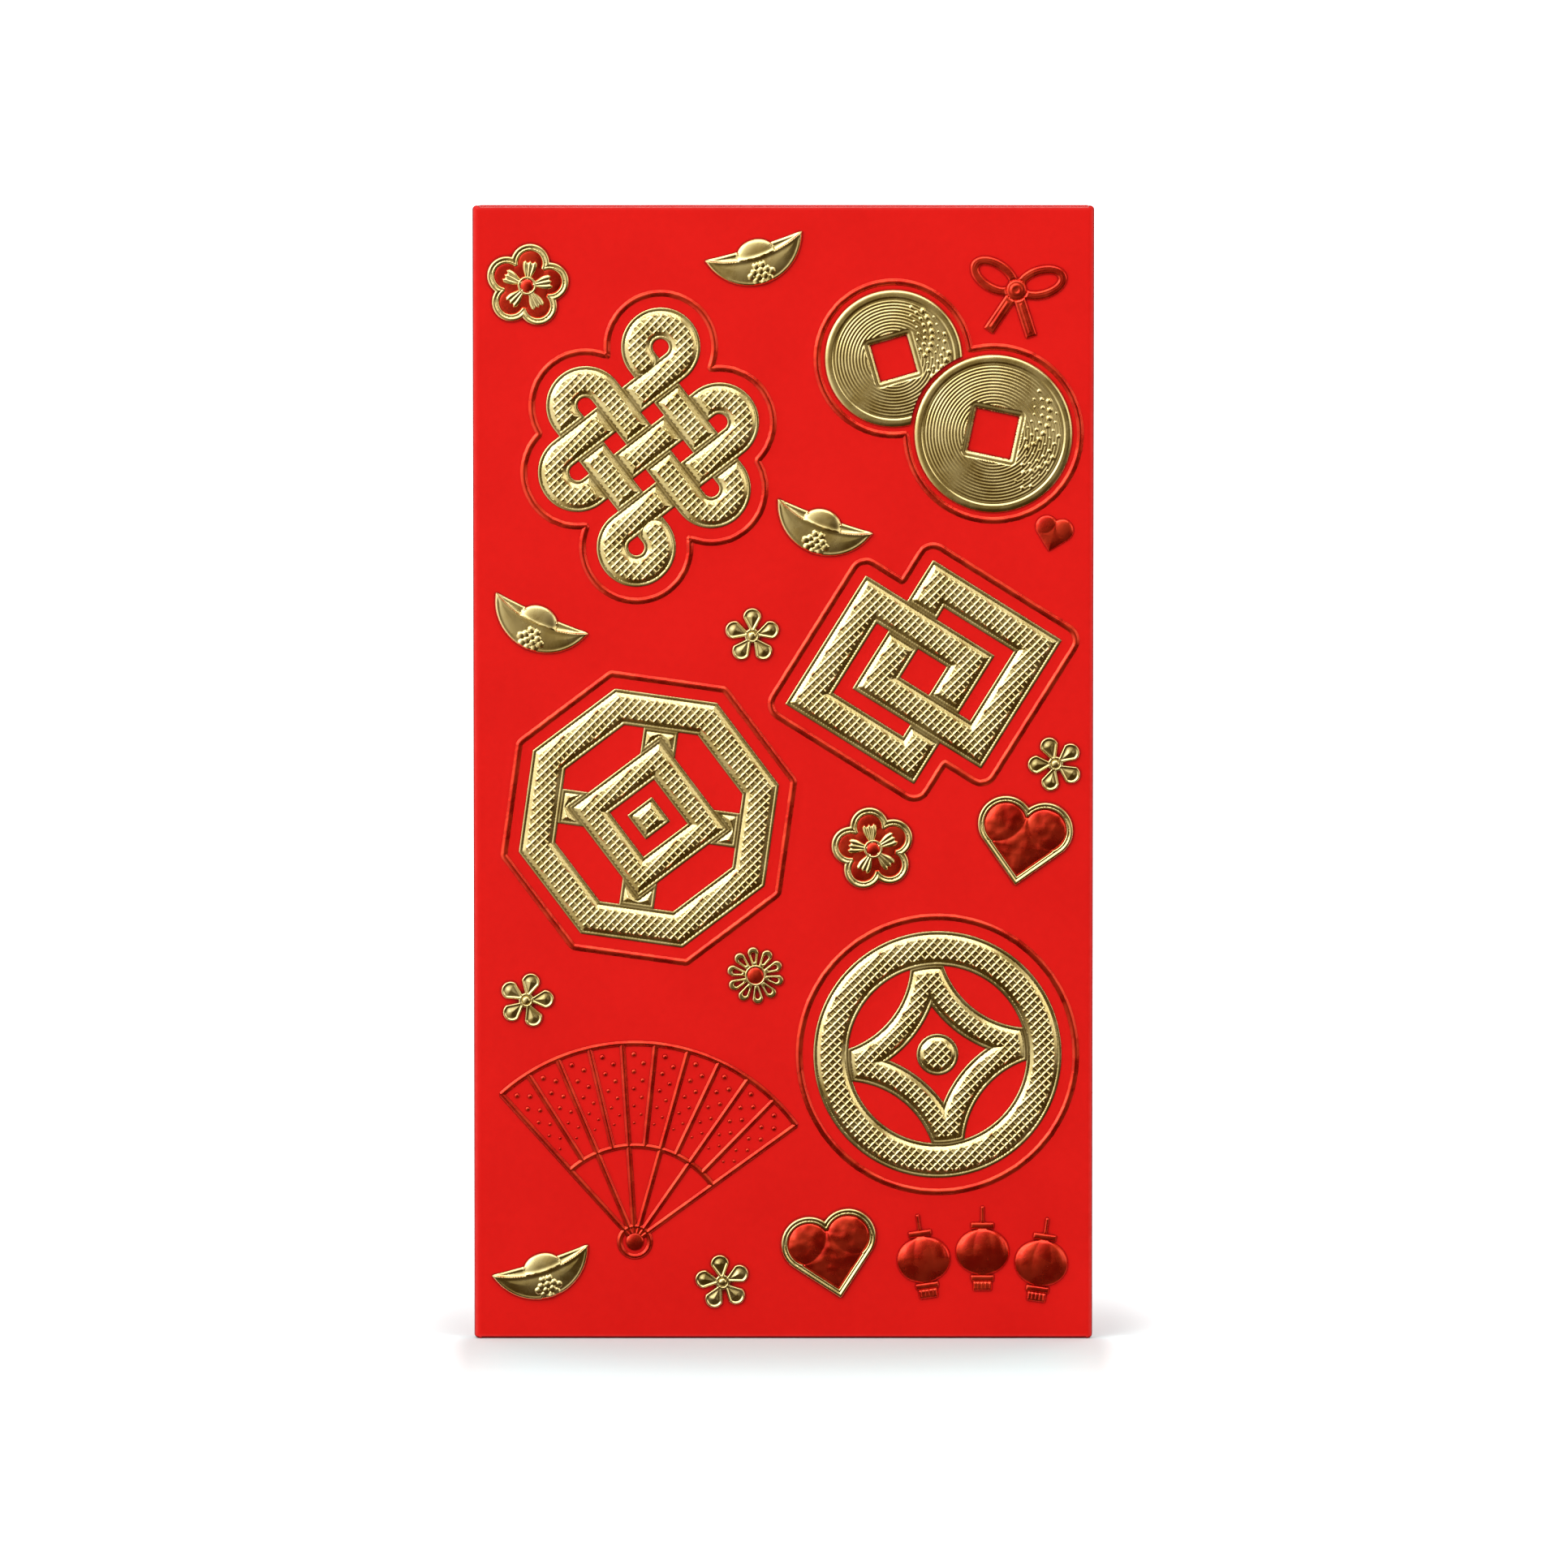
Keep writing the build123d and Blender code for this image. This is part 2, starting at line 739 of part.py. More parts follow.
with BuildPart() as plum_fields:
    for shares, tilt in zip(plum_place_shares, plum_tilts):
        with BuildSketch(place(shares, tilt)):
            plum_lobes(plum_lobe_radius - plum_rim)
            scale(by=artwork_scale)
        extrude(amount=plum_field_relief)
save(plum_fields, "plum_fields")

with BuildPart() as plum_petals:
    for shares, tilt in zip(plum_place_shares, plum_tilts):
        with BuildSketch(place(shares, tilt, plum_field_relief)):
            petals(petal_count, plum_petal_pitch, plum_petal_length, plum_petal_width)
            Circle(plum_petal_pitch)
            scale(by=artwork_scale)
        extrude(amount=plum_petal_relief)
save(plum_petals, "plum_petals")

with BuildPart() as plum_eyes:
    for shares, tilt in zip(plum_place_shares, plum_tilts):
        with BuildSketch(place(shares, tilt, plum_field_relief + plum_petal_relief)):
            Circle(plum_eye_radius)
            scale(by=artwork_scale)
        extrude(amount=plum_eye_relief)
save(plum_eyes, "plum_eyes")

# Small gold blossoms
with BuildPart() as small_blossoms:
    for shares, tilt in zip(blossom_place_shares, blossom_tilts):
        with BuildSketch(place(shares, tilt)):
            petals(petal_count, blossom_petal_pitch, blossom_petal_length, blossom_petal_width)
            Circle(blossom_heart_radius)
            scale(by=artwork_scale)
        extrude(amount=blossom_relief)
save(small_blossoms, "small_blossoms")

# Daisy: gold petals and a red eye on them
with BuildPart() as daisy_petals:
    with BuildSketch(place(daisy_place_shares, daisy_tilt)):
        petals(daisy_petal_count, daisy_petal_pitch, daisy_petal_length, daisy_petal_width)
        Circle(daisy_heart_radius)
        scale(by=artwork_scale)
    extrude(amount=daisy_relief)
save(daisy_petals, "daisy_petals")

with BuildPart() as daisy_eye:
    with BuildSketch(place(daisy_place_shares, daisy_tilt, daisy_relief)):
        Circle(daisy_eye_radius)
        scale(by=artwork_scale)
    extrude(amount=daisy_eye_relief)
save(daisy_eye, "daisy_eye")


# Hearts
def heart(side, inset=0, mode=Mode.ADD):
    """A square on its corner with a round lobe on each upper side, drawn in by an inset."""
    lobe_place = side / (2 * math.sqrt(2))
    lobe_radius = side / 2 - inset
    Rectangle(side - 2 * inset, side - 2 * inset, rotation=45, mode=mode)
    with GridLocations(2 * lobe_place, 0, 2, 1):
        with Locations((0, lobe_place)):
            Circle(lobe_radius, mode=mode)


with BuildPart() as heart_rims:
    for shares, tilt in zip(heart_place_shares, heart_tilts):
        with BuildSketch(place(shares, tilt)):
            heart(heart_side)
            heart(heart_side, heart_rim, mode=Mode.SUBTRACT)
            scale(by=artwork_scale)
        extrude(amount=heart_rim_relief)
save(heart_rims, "heart_rims")

with BuildPart() as heart_fields:
    for shares, tilt in zip(heart_place_shares, heart_tilts):
        with BuildSketch(place(shares, tilt)):
            heart(heart_side, heart_rim)
            scale(by=artwork_scale)
        extrude(amount=heart_field_relief)
save(heart_fields, "heart_fields")

small_heart_distance = coin_keyline_radius + small_heart_clearance + small_heart_side
with BuildPart() as small_heart:
    with BuildSketch(
        beside(front_coin_plane, small_heart_distance, small_heart_angle, small_heart_tilt)
    ):
        heart(small_heart_side)
        scale(by=artwork_scale)
    extrude(amount=small_heart_relief)
save(small_heart, "small_heart")
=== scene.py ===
# %% [markdown]
# # A red money packet
# The packet is one sheet of stiff red card, folded into a flat pocket, with gold and red foil
# ornaments pressed up from its front. The solids already give every size and every moving crease.
# Blender adds what the eye asks for: round folds, pale cut edges, the relief of the foil, the grain
# of the card and soft studio light. The solids are loaded first, and the pieces that follow take
# their sizes from the solids' boxes, so that the packet keeps its size.

# %% Load the packet's frame
import cmath
import math

import bpy
import numpy as np
from mathutils import Matrix, Vector, noise
from mathutils.geometry import tessellate_polygon


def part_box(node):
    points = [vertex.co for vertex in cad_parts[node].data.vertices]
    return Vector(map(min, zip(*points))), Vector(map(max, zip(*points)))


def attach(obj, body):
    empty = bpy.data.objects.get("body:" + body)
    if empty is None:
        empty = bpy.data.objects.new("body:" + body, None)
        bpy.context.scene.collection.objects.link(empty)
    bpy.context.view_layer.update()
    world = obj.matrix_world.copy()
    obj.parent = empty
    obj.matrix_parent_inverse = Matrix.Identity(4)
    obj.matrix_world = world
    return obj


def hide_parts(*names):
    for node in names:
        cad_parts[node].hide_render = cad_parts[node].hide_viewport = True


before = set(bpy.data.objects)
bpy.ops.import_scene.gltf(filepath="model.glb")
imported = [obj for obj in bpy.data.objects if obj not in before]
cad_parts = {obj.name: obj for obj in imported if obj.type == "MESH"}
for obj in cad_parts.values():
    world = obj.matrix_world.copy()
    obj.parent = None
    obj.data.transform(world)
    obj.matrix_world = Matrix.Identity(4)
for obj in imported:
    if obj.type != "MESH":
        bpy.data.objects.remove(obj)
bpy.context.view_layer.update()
MM = 0.001


def box_mm(node):
    """Lowest and highest corner of one solid, in millimetres."""
    low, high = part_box(node)
    return low / MM, high / MM


front_low, front_high = box_mm("front_panel")
spine_low, spine_high = box_mm("closure_spine")
left_x, right_x = front_low.x, front_high.x
face_y = front_low.y
card = front_high.y - front_low.y
packet_width = box_mm("right_fold")[1].x - box_mm("left_fold")[0].x
packet_height = spine_high.z
crease_z = (spine_low.z + spine_high.z) / 2
print(f"packet {packet_width:.1f} x {packet_height:.1f} mm, card {card:.2f} mm, face at y {face_y:.2f}")

# %% [markdown]
# ## The camera
# The photograph looks almost straight at the front, from a little above, through a long lens: the
# two sides stay parallel and the bottom edge stays level. So the camera stands well back, and the
# lens follows from the width of the picture at the packet's face. The camera comes first, because
# every later choice is judged through it.

# %% Set up the camera
camera_distance = 2.0
camera_elevation = math.radians(5.0)
picture_width = 227.6 * MM
sensor_width = 36.0
aim = Vector((0.1, face_y, 81.05)) * MM


def add_object(name, data):
    """Object that shows some data, linked into the scene."""
    made = bpy.data.objects.new(name, data)
    bpy.context.scene.collection.objects.link(made)
    return made


camera_data = bpy.data.cameras.new("camera")
camera_data.sensor_width = sensor_width
camera_data.lens = sensor_width * camera_distance / picture_width
camera = add_object("camera", camera_data)
back_off = Vector((0, -math.cos(camera_elevation), math.sin(camera_elevation)))
camera.location = aim + camera_distance * back_off
camera.rotation_euler = (-back_off).to_track_quat("-Z", "Y").to_euler()
bpy.context.scene.camera = camera
bpy.context.scene.view_settings.view_transform = "Standard"
print(f"lens {camera_data.lens:.0f} mm at {camera_distance} m")

# %% [markdown]
# ## Shader maths in plain sums
# Card and foil vary over their surface: a cloudy tint, fibres, wear along the folds. In the shader
# editor each sum is a row of nodes, which is slow to read. A small class that wraps one socket lets
# the same sums be written as Python, and adds the nodes behind them.


# %% A socket that can be added and multiplied
def connect(node, sockets):
    """Set a node's sockets to plain values, or link them to wires."""
    for key, value in sockets.items():
        if isinstance(value, Wire):
            value.tree.links.new(value.socket, node.inputs[key])
        else:
            node.inputs[key].default_value = value


class Wire:
    """One socket of a node tree: sums on it add Math nodes, and node() adds any other node."""

    def __init__(self, tree, socket=None):
        self.tree = tree
        self.socket = socket

    def node(self, kind, settings=None, sockets=None, out=0):
        made = self.tree.nodes.new(kind)
        for key, value in (settings or {}).items():
            setattr(made, key, value)
        connect(made, sockets or {})
        return Wire(self.tree, made.outputs[out])

    def math(self, operation, *values):
        return self.node("ShaderNodeMath", {"operation": operation}, dict(enumerate(values)))

    def __add__(self, other):
        return self.math("ADD", self, other)

    def __sub__(self, other):
        return self.math("SUBTRACT", self, other)

    def __rsub__(self, other):
        return self.math("SUBTRACT", other, self)

    def __mul__(self, other):
        return self.math("MULTIPLY", self, other)

    def __abs__(self):
        return self.math("ABSOLUTE", self)

    __radd__ = __add__
    __rmul__ = __mul__

    def least(self, other):
        return self.math("MINIMUM", self, other)

    def most(self, other):
        return self.math("MAXIMUM", self, other)

    def root(self):
        return self.math("SQRT", self)

    def axis(self, letter):
        """One of the three numbers of a place or a direction."""
        return self.node("ShaderNodeSeparateXYZ", {}, {0: self}, letter)

    def noise(self, size_mm, detail=2.0):
        """Cloudy values from 0 to 1, with clouds of about this size, read at this place."""
        sockets = {"Vector": self, "Scale": 1 / (size_mm * MM), "Detail": detail}
        return self.node("ShaderNodeTexNoise", {}, sockets)

    def ramp(self, low, high, start=0.0, end=1.0):
        """Smooth climb from start to end while this value goes from low to high."""
        sockets = {"Value": self, "From Min": low, "From Max": high, "To Min": start, "To Max": end}
        return self.node("ShaderNodeMapRange", {"interpolation_type": "SMOOTHSTEP"}, sockets)

    def tint(self, first, second):
        """Colour that goes from first to second as this value goes from 0 to 1."""
        return self.node("ShaderNodeMix", {"data_type": "RGBA"}, {0: self, 6: first, 7: second}, 2)

    def bump(self, height_mm, strength):
        """Normal of a surface raised by this value times a height."""
        sockets = {"Height": self, "Distance": height_mm * MM, "Strength": strength}
        return self.node("ShaderNodeBump", {}, sockets)


def start_finish(name):
    """New material: the material, its shader and the object coordinates as a wire."""
    made = bpy.data.materials.new(name)
    made.use_nodes = True
    tree = made.node_tree
    at = Wire(tree).node("ShaderNodeTexCoord", out="Object")
    return made, tree.nodes["Principled BSDF"], at


def colour(red, green, blue):
    """Shader colour from the 0 to 255 values that a colour picker shows."""
    picked = np.array([red, green, blue]) / 255
    linear = np.where(picked <= 0.04045, picked / 12.92, ((picked + 0.055) / 1.055) ** 2.4)
    return (*linear.tolist(), 1.0)


print("shader sums ready")

# %% [markdown]
# ## Card finishes
# The outside is solid red ink on stiff card: matte, with a faint cloudiness and a fine tooth. Along
# the folds it turns to a paler line, partly ink stretched there and partly a painted highlight, and
# right at the turn a painted shade darkens it. A painted shade from ambient occlusion also darkens
# it in the crevice beside each pressed ornament. The inside is the bare card, off-white with fibres,
# and a cut edge shows that pale core under a red skin. All three are made from noise at the sizes
# that card has, read at object coordinates so that they never slide.

# %% Mix the red card, its bare inside and its cut edge
half_width = packet_width / 2 * MM
fold_wear_and_highlight_width = 0.75 * MM
fold_shade_width = 0.28 * MM
crevice_shade_reach = 0.6 * MM

red_card, shader, at = start_finish("red_card_outside")
cloud = at.noise(14.0, 3.0)
tooth = at.noise(0.32, 4.0)
speck = at.noise(1.3, 2.0)
spread = cloud * 0.55 + speck * 0.25 + tooth * 0.2
red = spread.ramp(0.3, 0.7).tint(colour(217, 13, 5), colour(226, 17, 9))
across = abs(at.axis("X"))
up = at.axis("Z")
depth = at.axis("Y")
from_creases = (depth - spine_low.y * MM).least(spine_high.y * MM - depth)
below_top = (packet_height * MM - up).most(from_creases)
to_edge = (half_width - across).least(up.least(below_top))
# Paler band along the folds: partly stretched ink, partly a painted highlight.
worn_and_highlit = to_edge.ramp(fold_wear_and_highlight_width, 0.0) * speck.ramp(0.35, 0.65, 0.55, 0.75)
# Painted shade: the card darkens right at the turn of each fold and of the top edge.
turned = to_edge.ramp(fold_shade_width, 0.0) * below_top.ramp(0.0, fold_shade_width, 0.3, 0.7)
# The skin mixes the red, the paler band and the painted shade at the turn.
skin = turned.tint(worn_and_highlit.tint(red, colour(242, 64, 60)), colour(92, 3, 3))
# Painted shade: ambient occlusion darkens the base colour in the crevice beside each pressed ornament.
openness = at.node("ShaderNodeAmbientOcclusion", {"samples": 8}, {"Distance": crevice_shade_reach}, "AO")
connect(shader, {
    "Base Color": openness.ramp(0.5, 0.92).tint(colour(120, 4, 3), skin),
    "Roughness": tooth.ramp(0.3, 0.7, 0.5, 0.66),
    "Specular IOR Level": 0.1,
    "Normal": (tooth * 0.7 + speck * 0.3).bump(0.03, 0.35),
})

bare_card, shader, at = start_finish("bare_card_inside")
fibre = at.noise(0.25, 4.0)
felt = at.noise(4.0, 3.0)
fluff = (felt * 0.6 + fibre * 0.4).ramp(0.3, 0.7)
connect(shader, {
    "Base Color": fluff.tint(colour(236, 231, 222), colour(246, 243, 237)),
    "Roughness": fibre.ramp(0.3, 0.7, 0.75, 0.9),
    "Normal": fibre.bump(0.03, 0.4),
})

cut_edge, shader, at = start_finish("cut_card_edge")
strand = at.noise(0.12, 3.0)
connect(shader, {
    "Base Color": strand.ramp(0.35, 0.65).tint(colour(226, 150, 140), colour(240, 214, 204)),
    "Roughness": strand.ramp(0.3, 0.7, 0.7, 0.9),
})
print("card finishes:", red_card.name, bare_card.name, cut_edge.name)

# %% [markdown]
# ## Foil finishes
# Hot-stamped foil is a thin metal film: its colour lies in the reflection itself, so the shader is
# metallic. Real foil is never a perfect mirror. It dulls in patches, and the press leaves it
# slightly crinkled, so roughness and normal both get some noise. The red foil has a clear lacquer
# over it, which adds a sharper shine of its own, while the foil's shadows stay deep red. The glue is
# a thin milky film.

# %% Mix the gold foil, the red foil and the glue
gold_foil, shader, at = start_finish("gold_foil_pressed")
patch = at.noise(3.0, 3.0)
crinkle = at.noise(0.7, 3.0)
connect(shader, {
    "Base Color": patch.ramp(0.3, 0.7).tint((0.80, 0.645, 0.27, 1), (0.90, 0.755, 0.37, 1)),
    "Metallic": 1.0,
    "Roughness": patch.ramp(0.3, 0.7, 0.2, 0.3),
    "Normal": crinkle.bump(0.05, 0.25),
})

red_foil, shader, at = start_finish("red_foil_pressed")
patch = at.noise(2.5, 3.0)
crinkle = at.noise(0.6, 3.0)
connect(shader, {
    "Base Color": patch.ramp(0.3, 0.7).tint((0.74, 0.02, 0.008, 1), (0.9, 0.06, 0.022, 1)),
    "Metallic": 0.9,
    "Specular IOR Level": 0.0,
    "Roughness": patch.ramp(0.3, 0.7, 0.22, 0.34),
    "Coat Weight": 0.5,
    "Coat Roughness": 0.12,
    "Coat IOR": 1.4,
    "Normal": crinkle.bump(0.06, 0.35),
})

glue_film, shader, at = start_finish("dried_glue_film")
bubble = at.noise(1.6, 3.0)
connect(shader, {
    "Base Color": bubble.ramp(0.35, 0.65).tint(colour(228, 220, 198), colour(240, 236, 222)),
    "Roughness": bubble.ramp(0.3, 0.7, 0.25, 0.45),
    "Normal": bubble.bump(0.02, 0.3),
})
for node in ("side_seam_glue", "bottom_flap_glue"):
    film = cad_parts[node]
    film.data.materials.clear()
    film.data.materials.append(glue_film)
card_finishes = (red_card, bare_card, cut_edge)
foils = {"gold_foil": gold_foil, "red_foil": red_foil}
print("foil and glue finishes:", gold_foil.name, red_foil.name, glue_film.name)

# %% [markdown]
# ## Turning points into pieces
# Every piece ends the same way: points and faces become a mesh at the origin, it gets its
# finishes, it rides on the body that carries it, and it stands for the solids it covers. Two short
# helpers do that, so that each later cell is only about shape.


# %% Helpers for pieces
round_below = 40
foil_round_below = 35


def make_piece(name, points_mm, faces, finishes, picks=None, smooth=None):
    """Mesh object from points in millimetres; smooth is the angle in degrees that stays round."""
    mesh = bpy.data.meshes.new(name)
    mesh.from_pydata((np.asarray(points_mm) * MM).tolist(), [], [list(map(int, face)) for face in faces])
    for finish in finishes:
        mesh.materials.append(finish)
    if picks is not None:
        mesh.polygons.foreach_set("material_index", picks)
    if smooth is not None:
        mesh.shade_smooth()
        mesh.set_sharp_from_angle(angle=math.radians(smooth))
    mesh.update()
    return add_object(name, mesh)


def dress(thing, body, slot, *nodes):
    """Hang a finished piece on its body in place of the solids that it stands for."""
    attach(thing, body)
    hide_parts(*nodes)
    thing.data.calc_loop_triangles()
    print(f"{thing.name}: {len(thing.data.loop_triangles)} triangles, rides on {body}")
    return thing


print("pieces stay round where faces meet at less than", round_below, "degrees")

# %% [markdown]
# ## Flat card panels
# The back panel, the side tab, the bottom flap and the closure flap are flat pieces of the blank.
# Die cutting rolls the printed side down a little along each cut, which is what catches the light
# there. So each panel is a plate with a rolled rim: an outline, a second outline set in from it and
# a little higher, and the bare card behind. Its corners are those of its solid's box, shifted where
# the blank tapers. Where a panel carries on into a fold, it reaches a little into the round of the
# fold, so that no seam shows.

# %% Make the flat panels
edge_roll = 0.06
edge_roll_width = 0.4
corner_steps = 12
least_corner = 0.02
die_corner = 0.8
fold_corner = 0.1
crease_corner = 0.05
tuck_corner = 2.0
closure_corner = 9.0
tab_taper = 6.0
tuck_taper = 6.0
closure_taper = 7.0
into_side_fold = 0.36
into_bottom_fold = 0.2
into_crease = 0.13


def round_corners(corners, radii, inset=0.0):
    """Outline, counter-clockwise, with each corner rounded by its radius and all sides set in."""
    outline = []
    for k, (corner, radius) in enumerate(zip(corners, radii)):
        before = corners[k - 1] - corner
        after = corners[(k + 1) % len(corners)] - corner
        before, after = before / abs(before), after / abs(after)
        half = abs(cmath.phase(after / before)) / 2
        inward = (before + after) / abs(before + after) / math.sin(half)
        corner += inward * inset
        radius = max(radius - inset, least_corner)
        centre = corner + inward * radius
        first = cmath.phase(corner + before * radius / math.tan(half) - centre)
        sweep = math.pi - 2 * half
        outline += [
            centre + cmath.rect(radius, first + sweep * step / corner_steps)
            for step in range(corner_steps + 1)
        ]
    return np.array(outline)


def panel(name, body, node, shifts, radii):
    """Plate over a solid's box, its corners shifted and rounded, with a rolled rim on its outer side."""
    low, high = box_mm(node)
    box = (complex(low.x, low.z), complex(high.x, low.z), complex(high.x, high.z), complex(low.x, high.z))
    corners = [corner + shift for corner, shift in zip(box, shifts)]
    outline = round_corners(corners, radii)
    inset = round_corners(corners, radii, edge_roll_width)
    rings = [(outline, low.y), (outline, high.y - edge_roll), (inset, high.y)]
    points = np.vstack([np.column_stack([r.real, np.full(len(r), y), r.imag]) for r, y in rings])
    count = len(outline)
    ring = np.arange(count)
    after = np.roll(ring, -1)
    faces = [ring, (ring + 2 * count)[::-1]]
    picks = [1, 0]
    for level, pick in ((0, 2), (1, 0)):
        near, far = level * count, (level + 1) * count
        faces += np.column_stack([ring + far, after + far, after + near, ring + near]).tolist()
        picks += [pick] * count
    return dress(make_piece(name, points, faces, card_finishes, picks), body, "red_card", node)


panel("card_back", "pocket", "back_panel", (-into_side_fold, 0, 0, -into_side_fold),
      (fold_corner, die_corner, die_corner, fold_corner))
panel("card_side_tab", "pocket", "side_tab", (1j * tab_taper, 0, 0, -1j * tab_taper),
      (die_corner, fold_corner, fold_corner, die_corner))
panel("card_bottom_flap", "pocket", "bottom_flap",
      (-1j * into_bottom_fold, -1j * into_bottom_fold, -tuck_taper, tuck_taper),
      (fold_corner, fold_corner, tuck_corner, tuck_corner))
to_crease = 1j * (crease_z + into_crease - box_mm("closure_flap")[1].z)
panel("card_closure_flap", "flap", "closure_flap",
      (closure_taper, -closure_taper, to_crease, to_crease),
      (closure_corner, closure_corner, crease_corner, crease_corner))

# %% [markdown]
# ## Folds and creases
# A fold is the card bent round: outside it is a half circle, inside a smaller one. Each fold is a
# strip of cross sections, swept along the fold. The side folds draw in at their ends, which gives
# the packet its slightly rounded corners. The spine along the top is a narrow strip whose two long
# edges are round beads on the creases, so that it looks whole at any angle.

# %% Make the folds and the spine
fold_steps = 20
fold_rows = 60
fold_run_start = 1.0
easing_rows = 7
corner_radius = 0.6
least_reach = 0.02
strip_rows = 40
bead_steps = 10
bead_gap_angle = 0.1
spine_end_gap = 0.05


def bent_card(name, body, node, sections):
    """Piece from cross sections; each holds its outer points and then its inner points."""
    count = len(sections[0]) // 2
    size = 2 * count
    faces, picks = [], []
    for row in range(len(sections) - 1):
        low, high = row * size, (row + 1) * size
        for k in range(size):
            after = (k + 1) % size
            faces.append([low + k, low + after, high + after, high + k])
            picks.append(0 if k < count - 1 else 2 if k in (count - 1, size - 1) else 1)
    faces.append(list(range(size))[::-1])
    faces.append([(len(sections) - 1) * size + k for k in range(size)])
    picks += [2, 2]
    made = make_piece(name, np.vstack(sections), faces, card_finishes, picks, round_below)
    return dress(made, body, "red_card", node)


def side_fold(name, node, middle_x, out):
    """Half-round fold along one side, out being -1 on the left and 1 on the right."""
    low, high = box_mm(node)
    radius = (high.y - low.y) / 2
    middle_y = (high.y + low.y) / 2
    easing = corner_radius * (1 - np.cos(np.linspace(0, math.pi / 2, easing_rows)))
    run = np.linspace(fold_run_start, packet_height - fold_run_start, fold_rows)
    sweep = np.linspace(-math.pi / 2, math.pi / 2, fold_steps + 1)
    sections = []
    for z in np.concatenate([easing, run, packet_height - easing[::-1]]):
        end = max(corner_radius - min(z, packet_height - z), 0.0)
        drawn_in = corner_radius - math.sqrt(corner_radius**2 - end**2)
        rings = []
        for r, angles in ((radius, sweep), (radius - card, sweep[::-1])):
            x = middle_x + out * np.maximum(r - drawn_in, least_reach) * np.cos(angles)
            y = middle_y + r * np.sin(angles)
            rings.append(np.column_stack([x, y, np.full(len(x), z)])[::out])
        sections.append(np.vstack(rings))
    return bent_card(name, "pocket", node, sections)


def level_strip(name, body, node, ring, first, last):
    """Card bent along X: one cross section, repeated from end to end."""
    sections = [
        np.column_stack([np.full(len(ring), x), ring.real, ring.imag])
        for x in np.linspace(first, last, strip_rows)
    ]
    return bent_card(name, body, node, sections)


side_fold("card_left_fold", "left_fold", left_x, -1)
side_fold("card_right_fold", "right_fold", right_x, 1)

foot_low, foot_high = box_mm("bottom_fold")
foot_radius = foot_high.z


def foot_section(inset):
    """Half of the foot's cross section, from the front face round to the back one."""
    radius = foot_radius - inset
    sweep = np.linspace(math.pi, 1.5 * math.pi, fold_steps // 2)
    front = complex(foot_low.y + foot_radius, foot_radius) + radius * np.exp(1j * sweep)
    back = complex(foot_high.y - foot_radius, foot_radius) + radius * np.exp(1j * (sweep + math.pi / 2))
    return np.concatenate([front, back])


ring = np.concatenate([foot_section(0), foot_section(card)[::-1]])
level_strip("card_bottom_fold", "pocket", "bottom_fold", ring, foot_low.x, foot_high.x)

bead = card / 2
front_bead = complex(spine_low.y + bead, crease_z)
back_bead = complex(spine_high.y - bead, crease_z)


def bead_quarter(centre, first, last):
    """Points on the round of a bead, between two angles."""
    return centre + bead * np.exp(1j * np.linspace(first, last, bead_steps))


upper = np.concatenate([
    bead_quarter(front_bead, math.pi, math.pi / 2),
    bead_quarter(back_bead, math.pi / 2, 0),
])
lower = np.concatenate([
    bead_quarter(back_bead, -bead_gap_angle, -math.pi / 2),
    bead_quarter(front_bead, -math.pi / 2, -math.pi + bead_gap_angle),
])
ring = np.roll(np.concatenate([upper, lower])[::-1], -len(lower))
level_strip("card_closure_spine", "spine", "closure_spine", ring,
            left_x + spine_end_gap, right_x - spine_end_gap)

# %% [markdown]
# ## Flat shapes as depths
# An ornament's outline could be drawn as curves, but its relief depends on how far each point lies
# inside the edge: bevels, rims and domes are all functions of that depth. So each shape is written
# as a depth, positive inside and negative outside. Points of the front face are complex numbers,
# X across and Z up in millimetres, because turning one is then a single multiplication.


# %% Depths of simple shapes
def turn(degrees):
    """Factor that turns a point about the origin."""
    return cmath.exp(1j * math.radians(degrees))


def spot(p, centre, radius):
    """Depth in a disc."""
    return radius - np.abs(p - centre)


def bar(p, start, end, width):
    """Depth in a straight stroke with round ends."""
    length = abs(end - start)
    q = (p - start) * length / (end - start)
    return width / 2 - np.abs(q - np.clip(q.real, 0, length))


def bend(p, centre, radius, first, sweep, width):
    """Depth in a stroke along an arc, its angles in degrees."""
    q = (p - centre) * turn(-first - sweep / 2)
    half = math.radians(sweep / 2)
    return width / 2 - np.abs(q - radius * np.exp(1j * np.clip(np.angle(q), -half, half)))


def slab(p, width, height):
    """Depth in a rectangle about the origin."""
    over_x = np.abs(p.real) - width / 2
    over_z = np.abs(p.imag) - height / 2
    outside = np.hypot(np.maximum(over_x, 0), np.maximum(over_z, 0))
    return -outside - np.minimum(np.maximum(over_x, over_z), 0)


def many_sided(p, sides, across):
    """Depth in a regular outline that stands on a flat side."""
    step = 2 * math.pi / sides
    angle = (np.angle(p) + step / 2) % step - step / 2
    return across / 2 - np.abs(p) * np.cos(angle)


def oval(p, length, width):
    """Depth in an ellipse about the origin, close to true near its edge."""
    scaled = np.hypot(p.real * 2 / length, p.imag * 2 / width) + 1e-9
    slope = np.hypot(p.real * 4 / length**2, p.imag * 4 / width**2) + 2e-9 / width
    return (1 - scaled) * scaled / slope


def most(depths):
    """Depth in several shapes joined."""
    return np.maximum.reduce(list(depths))


def climb(value, low, high):
    """Smooth step from 0 to 1."""
    t = np.clip((value - low) / (high - low), 0, 1)
    return t * t * (3 - 2 * t)


def rounded(depth, reach):
    """Quarter-round climb from 0 at the edge to 1 at the given depth."""
    t = np.clip(depth / reach, 0, 1)
    return np.sqrt(t * (2 - t))


def on_face(shares):
    """Point of the front face from shares of the packet's width and height."""
    return complex(shares[0] * packet_width, shares[1] * packet_height)


